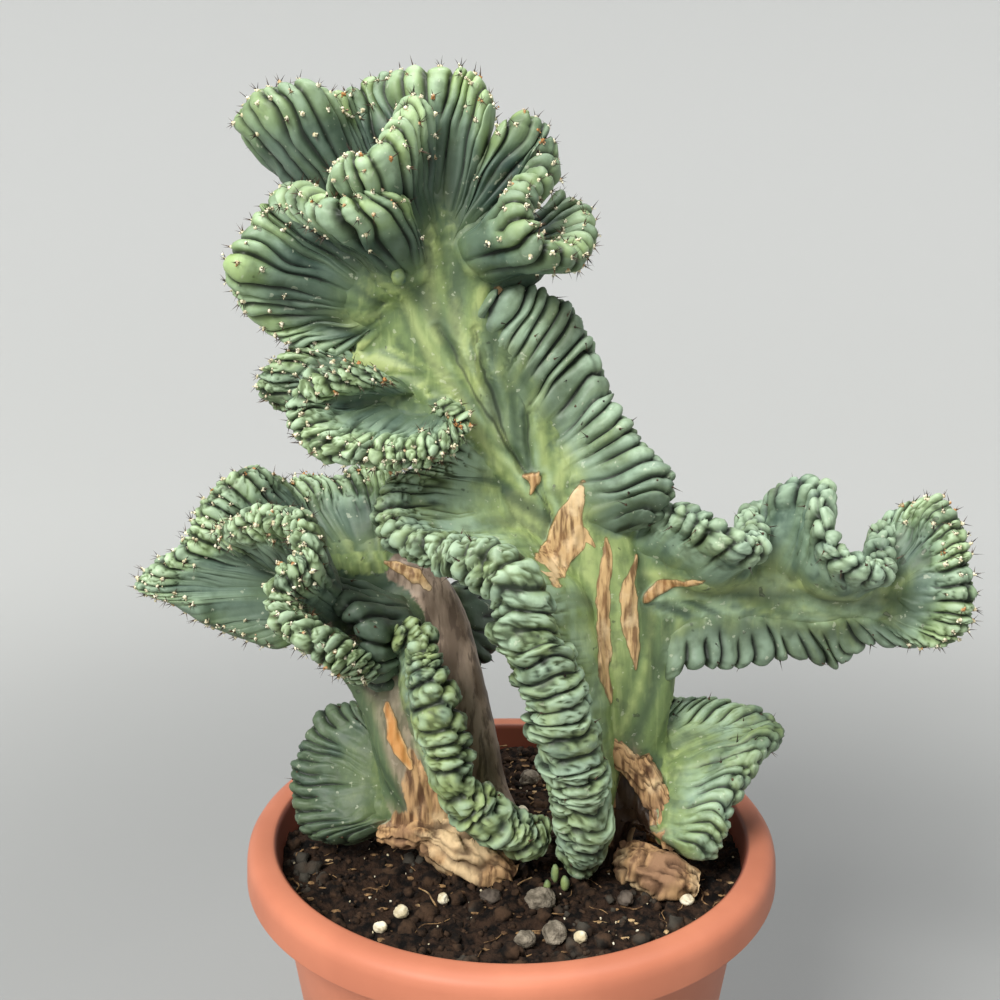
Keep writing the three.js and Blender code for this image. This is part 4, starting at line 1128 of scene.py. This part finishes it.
def plain_material(name, dark, light, rare, scale, roughness, distance=0.0004, specular=0.3, strength=0.5):
    """Two colours in patches, with rarer patches of a third, and painted shade on the pot's inner wall."""
    s = Shader(name, roughness, specular)
    base = s.mix(s.patches(scale, 5, 0.35, 0.65), colour(*dark), colour(*light))
    if rare:
        base = s.coat(base, rare, 1, (scale / 6, 3, 0.56, 0.66))
    # Painted shade on the pot's inner wall
    if name == "terracotta":
        base = s.coat(base, (106, 50, 35), 0.85, "inside")
    return s.finish(base, s.noise(scale * 3), distance, strength)


materials = {name: plain_material(name, *row) for name, row in PLAIN_MATERIALS.items()}
materials.update({"skin": skin_material(), "bark": bark_material()})


# Small pieces


def ball_shape(level):
    made = bmesh.new()
    bmesh.ops.create_icosphere(made, subdivisions=level, radius=1.0)
    points = np.array([v.co for v in made.verts])
    faces = np.array([[v.index for v in f.verts] for f in made.faces])
    made.free()
    return points, faces


BALL = {level: ball_shape(level) for level in (1, 2, 4)}


def lump(place, size, rng, level=2, rough=0.3):
    """A small uneven ball; size is its radius, or one for each axis."""
    points, faces = BALL[level]
    push = 1 + rough * rng.uniform(-1, 1, (len(points), 1))
    return points * push * size + place, [faces]


def needle(place, direction, length, radius, sides=4):
    """A pointed closed spine."""
    direction = unit(direction)
    helper = np.array([0.0, 0, 1]) if abs(direction[2]) < 0.9 else np.array([1.0, 0, 0])
    a = unit(np.cross(direction, helper))
    b = np.cross(direction, a)
    angle = turns(sides)[:, None]
    ring = place + radius * (a * np.cos(angle) + b * np.sin(angle))
    points = np.vstack([ring, place + direction * length, place - direction * radius])
    return points, [fan(0, 1, sides, sides, False), fan(0, 1, sides, sides + 1, True)]


def areoles(made, rng):
    """The woolly areoles, dark old areoles and spines of one crest, as lists of parts."""
    young = made["cols"]["kind"]["young"] > 0.5
    woolly, dark, spines = [], [], []
    for rib in range(made["cols"]["ribs"]):
        for offset, chance in YOUNG_SPOTS if young else OLD_SPOTS:
            if rng.random() > chance:
                continue
            column = rib * COLUMNS_PER_RIB + COLUMNS_PER_RIB // 2 + rng.integers(-1, 2)
            station = FACE_STATIONS + TOP_STATIONS // 2 + offset
            p, n = made["place"][column, station], unit(made["normal"][column, station])
            if young:
                radius = rng.uniform(0.5, 0.82)
                woolly.append(lump(p + 0.1 * n, radius, rng, 1))
                for _ in range(4):
                    spot = p + rng.normal(0, 0.5, 3)
                    woolly.append(lump(spot, rng.uniform(0.3, 0.7) * radius, rng, 1, 0.4))
            else:
                dark.append(lump(p, rng.uniform(0.25, 0.5), rng, 1))
            for _ in range(rng.integers(2, 7) if young else rng.integers(0, 3)):
                lean = n + rng.normal(0, 0.6, 3)
                spines.append(needle(p, lean, rng.uniform(1.6, 4.0), rng.uniform(0.14, 0.23)))
    return woolly, dark, spines


# Cactus

sheets = {name: sheet(crest, 11 + i) for i, (name, crest) in enumerate(CRESTS.items())}
core_piece(list(sheets.values()))
for group in ("crown", "wing", "right"):
    members = [sheets[name] for name, crest in CRESTS.items() if crest["group"] == group]
    points, faces = joined([(made["points"], made["faces"]) for made in members])
    looks = {key: np.concatenate([made["looks"][key] for made in members])
             for key in (*LOOKS, "scar", "rust")}
    finish_piece(build("cactus_" + group, points, faces, materials["skin"], looks), "cactus")
bark_piece()

rng = np.random.default_rng(78)
points, faces = joined([lump(np.array(place), np.array(size), rng, 2, 0.12) for place, size in SHOOTS])
looks = {key: np.full(len(points), 0.8 * (key == "warm")) for key in LOOKS}
finish_piece(build("shoots", points, faces, materials["skin"], looks), "cactus")

rng = np.random.default_rng(77)
tufts = zip(*(areoles(made, rng) for made in sheets.values()))
names = (("areoles", "wool"), ("old_areoles", "thorn"), ("spines", "thorn"))
for (name, material), lists in zip(names, tufts):
    points, faces = joined([part for parts in lists for part in parts])
    piece = build(name, points, faces, materials[material], None, name != "spines")
    finish_piece(piece, "cactus")


# Pot


def lathe(profile, sides, open_top=False):
    """A profile of (radius, height) points, from axis to axis, turned round the Z axis."""
    profile = np.array(profile, float)
    radius, height = (profile[1:] if open_top else profile[1:-1]).T
    angle = turns(sides)[:, None]
    place = np.stack([np.cos(angle) * radius, np.sin(angle) * radius, height + 0 * angle], -1)
    return round_skin(place, profile[:1, 1] if open_top else profile[[0, -1], 1])


def wall(z):
    return BASE + SLOPE * z


def rounded(corners, steps=5):
    """A profile whose corners (radius, height, rounding) are rounded off."""
    done = []
    for i, (r, z, bend) in enumerate(corners):
        here = np.array([r, z])
        if bend == 0 or i in (0, len(corners) - 1):
            done.append(here)
            continue
        a, b = (here + unit(np.array(corners[j][:2]) - here) * bend for j in (i - 1, i + 1))
        for t in np.linspace(0, 1, steps):
            done.append((1 - t) ** 2 * a + 2 * t * (1 - t) * here + t**2 * b)
    return done


pot_profile = rounded([
    (0, 0, 0), (15, 0, 0), (17, 2, 0.5), (52, 2, 0.5), (53, 0, 0.4), (BASE, 0, 1),
    (wall(149), 149, 0.8), (wall(149) + 1, 152.8, 0.6), (RIM - 2.6, 152.4, 1.5),
    (RIM - 1.8, SKIRT, 0.5), (RIM, SKIRT, 0.7), (RIM - 0.6, POT_HEIGHT, 5.0),
    (wall(153) - WALL, POT_HEIGHT, 2.2), (wall(8) - WALL, 6.5, 1.5), (BASE - 6, POT_FLOOR, 1),
    (0, POT_FLOOR, 0),
])
points, faces = lathe(pot_profile, 160)
# Points on the pot's inner wall, which get painted shade
within = np.hypot(points[:, 0], points[:, 1]) < wall(points[:, 2]) - 0.8
looks = {"inside": within & (points[:, 2] > POT_FLOOR - 0.1)}
finish_piece(build("pot_shell", points, faces, materials["terracotta"], looks), "pot")


# Soil


def soil_height(x, y):
    """The soil's surface, with its swells and crumbs."""
    swell = np.sin(x * 0.23 + 1) * np.cos(y * 0.19) + 0.7 * np.sin(x * 0.11 - y * 0.31)
    p = np.stack([x, y, x * 0], -1)
    grain = sum(high * (noise(p, size, shift) - 0.5) for size, shift, high in SOIL_GRAIN)
    return SOIL_LEVEL + SOIL_LUMP * swell + grain - 0.2


def soil_piece():
    edge = wall(SOIL_LEVEL) - WALL - 0.1
    floor = SOIL_LEVEL - SOIL_DEEP
    radius = np.concatenate([edge * np.linspace(0, 1, 111)[1:], [wall(floor) - WALL - 0.5, 50]])
    angle = turns(360)[:, None]
    x, y = radius * np.cos(angle), radius * np.sin(angle)
    z = soil_height(x, y)
    z[:, -2:] = floor
    points, faces = round_skin(np.stack([x, y, z], -1), [SOIL_LEVEL, floor], True)
    finish_piece(build("soil_top", points, faces, materials["earth"]), "soil")


def scattered(count, rng):
    """Places on the soil, even all over it."""
    radius = (wall(SOIL_LEVEL) - WALL - 2) * np.sqrt(rng.random(count))
    angle = rng.uniform(0, 2 * math.pi, count)
    x, y = radius * np.cos(angle), radius * np.sin(angle)
    return np.stack([x, y, soil_height(x, y)], 1)


def fibre(place, rng):
    """A thin bent root or twig that lies on the soil."""
    turn = rng.uniform(0, 2 * math.pi)
    length, radius = rng.uniform(4, 13), rng.uniform(0.15, 0.4)
    step = np.array([math.cos(turn), math.sin(turn), 0]) * length / 3
    bend = np.array([-step[1], step[0], 0])
    lift = np.array([0, 0, radius])
    path = [place + lift + step * k + bend * rng.uniform(-0.5, 0.5) + 0.3 * k * lift for k in range(4)]
    half = np.linspace(radius, 0.6 * radius, 4)
    return stem_surface(np.column_stack([path, half, half]), 5, 9)


def debris():
    """Clods, crumbs, wood chips and fibres all over the soil."""
    rng = np.random.default_rng(31)
    clods = [lump(p, rng.uniform(0.4, 1.0) + 2.6 * rng.random() ** 6, rng) for p in scattered(1500, rng)]
    chips = [lump(p + [0, 0, 0.3], rng.uniform(0.3, 1.0, 3) * [2.0, 1.2, 0.5], rng, 1)
             for p in scattered(190, rng)]
    chips += [fibre(p, rng) for p in scattered(80, rng)]
    grit = [lump(p + [0, 0, 0.2], rng.uniform(0.2, 0.6, 3), rng, 1) for p in scattered(130, rng)]
    layers = (("clods", clods, "clod"), ("chips", chips, "chip"), ("grit", grit, "perlite"))
    for name, parts, material in layers:
        piece = build(name, *joined(parts), materials[material], None, name == "clods")
        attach(piece, "root")


def stones():
    """A rough stone in the place of each plain one."""
    rng = np.random.default_rng(8)
    for node in sorted(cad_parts):
        kind = node.split("_")[0]
        if kind not in materials:
            continue
        low, high = (np.array(corner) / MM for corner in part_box(node))
        points, faces = BALL[4]
        shift = rng.uniform(0, 20)
        facets = unit(rng.normal(0, 1, (STONE_FACETS, 3)))
        reach = rng.uniform(0.72, 0.95, STONE_FACETS) / np.maximum(points @ facets.T, 0.05)
        push = np.minimum(reach.min(1), 1)
        for height, size in ((0.22, 0.5), (0.14, 0.2)):
            push = push + height * (noise(points, size, shift) - 0.5)
        shape = (low + high) / 2 + points * push[:, None].clip(0, 1) * (high - low) / 2
        finish_piece(build("rough_" + node, shape, [faces], materials[kind]), node, kind)


soil_piece()
debris()
stones()


# Studio


def added(name, data, place):
    """A light or camera at a place in metres."""
    made = bpy.data.objects.new(name, data)
    bpy.context.scene.collection.objects.link(made)
    made.location = place
    return made


def studio():
    scene = bpy.context.scene
    scene.view_settings.view_transform = "Standard"
    world = bpy.data.worlds.new("studio")
    scene.world = world
    world.use_nodes = True
    background = world.node_tree.nodes["Background"]
    background.inputs["Color"].default_value = (0.9, 0.95, 1.0, 1)
    background.inputs["Strength"].default_value = 0.16
    # Painted light: the backdrop is painted darker near the middle, where the lamps are strong, and paler
    # far out, where their light falls off
    paint = Shader("backdrop_paint", 0.9, 0.1)
    far = paint.node("ShaderNodeVectorMath", {0: paint.where}, operation="LENGTH").outputs["Value"]
    tone = paint.mix(paint.ramp(far, 0.25, 1.0), colour(149, 150, 149), colour(205, 206, 204))
    pale = paint.finish(paint.mix(paint.ramp(far, 0.9, 1.8), tone, colour(221, 222, 221)))
    bowl = [(0, 0), (BOWL_FLAT, 0)]
    bowl += [(BOWL_FLAT + BOWL_CURVE * math.sin(a), BOWL_CURVE * (1 - math.cos(a)))
             for a in np.linspace(0.1, 1.4, 14)]
    build("backdrop", *lathe(bowl, 64, True), pale)
    for name, place, energy, size, tint in LIGHTS:
        data = bpy.data.lights.new(name, "AREA")
        data.energy, data.size, data.color = energy, size, tint
        aim = Vector((0, 0, 0.25)) - Vector(place)
        added(name, data, place).rotation_euler = aim.to_track_quat("-Z", "Y").to_euler()
    data = bpy.data.cameras.new("camera")
    data.sensor_width, data.lens, data.clip_start = 36, LENS, 0.01
    scene.camera = added("camera", data, [v * MM for v in EYE])
    scene.camera.rotation_euler = (math.radians(90 - PITCH), 0, 0)


studio()
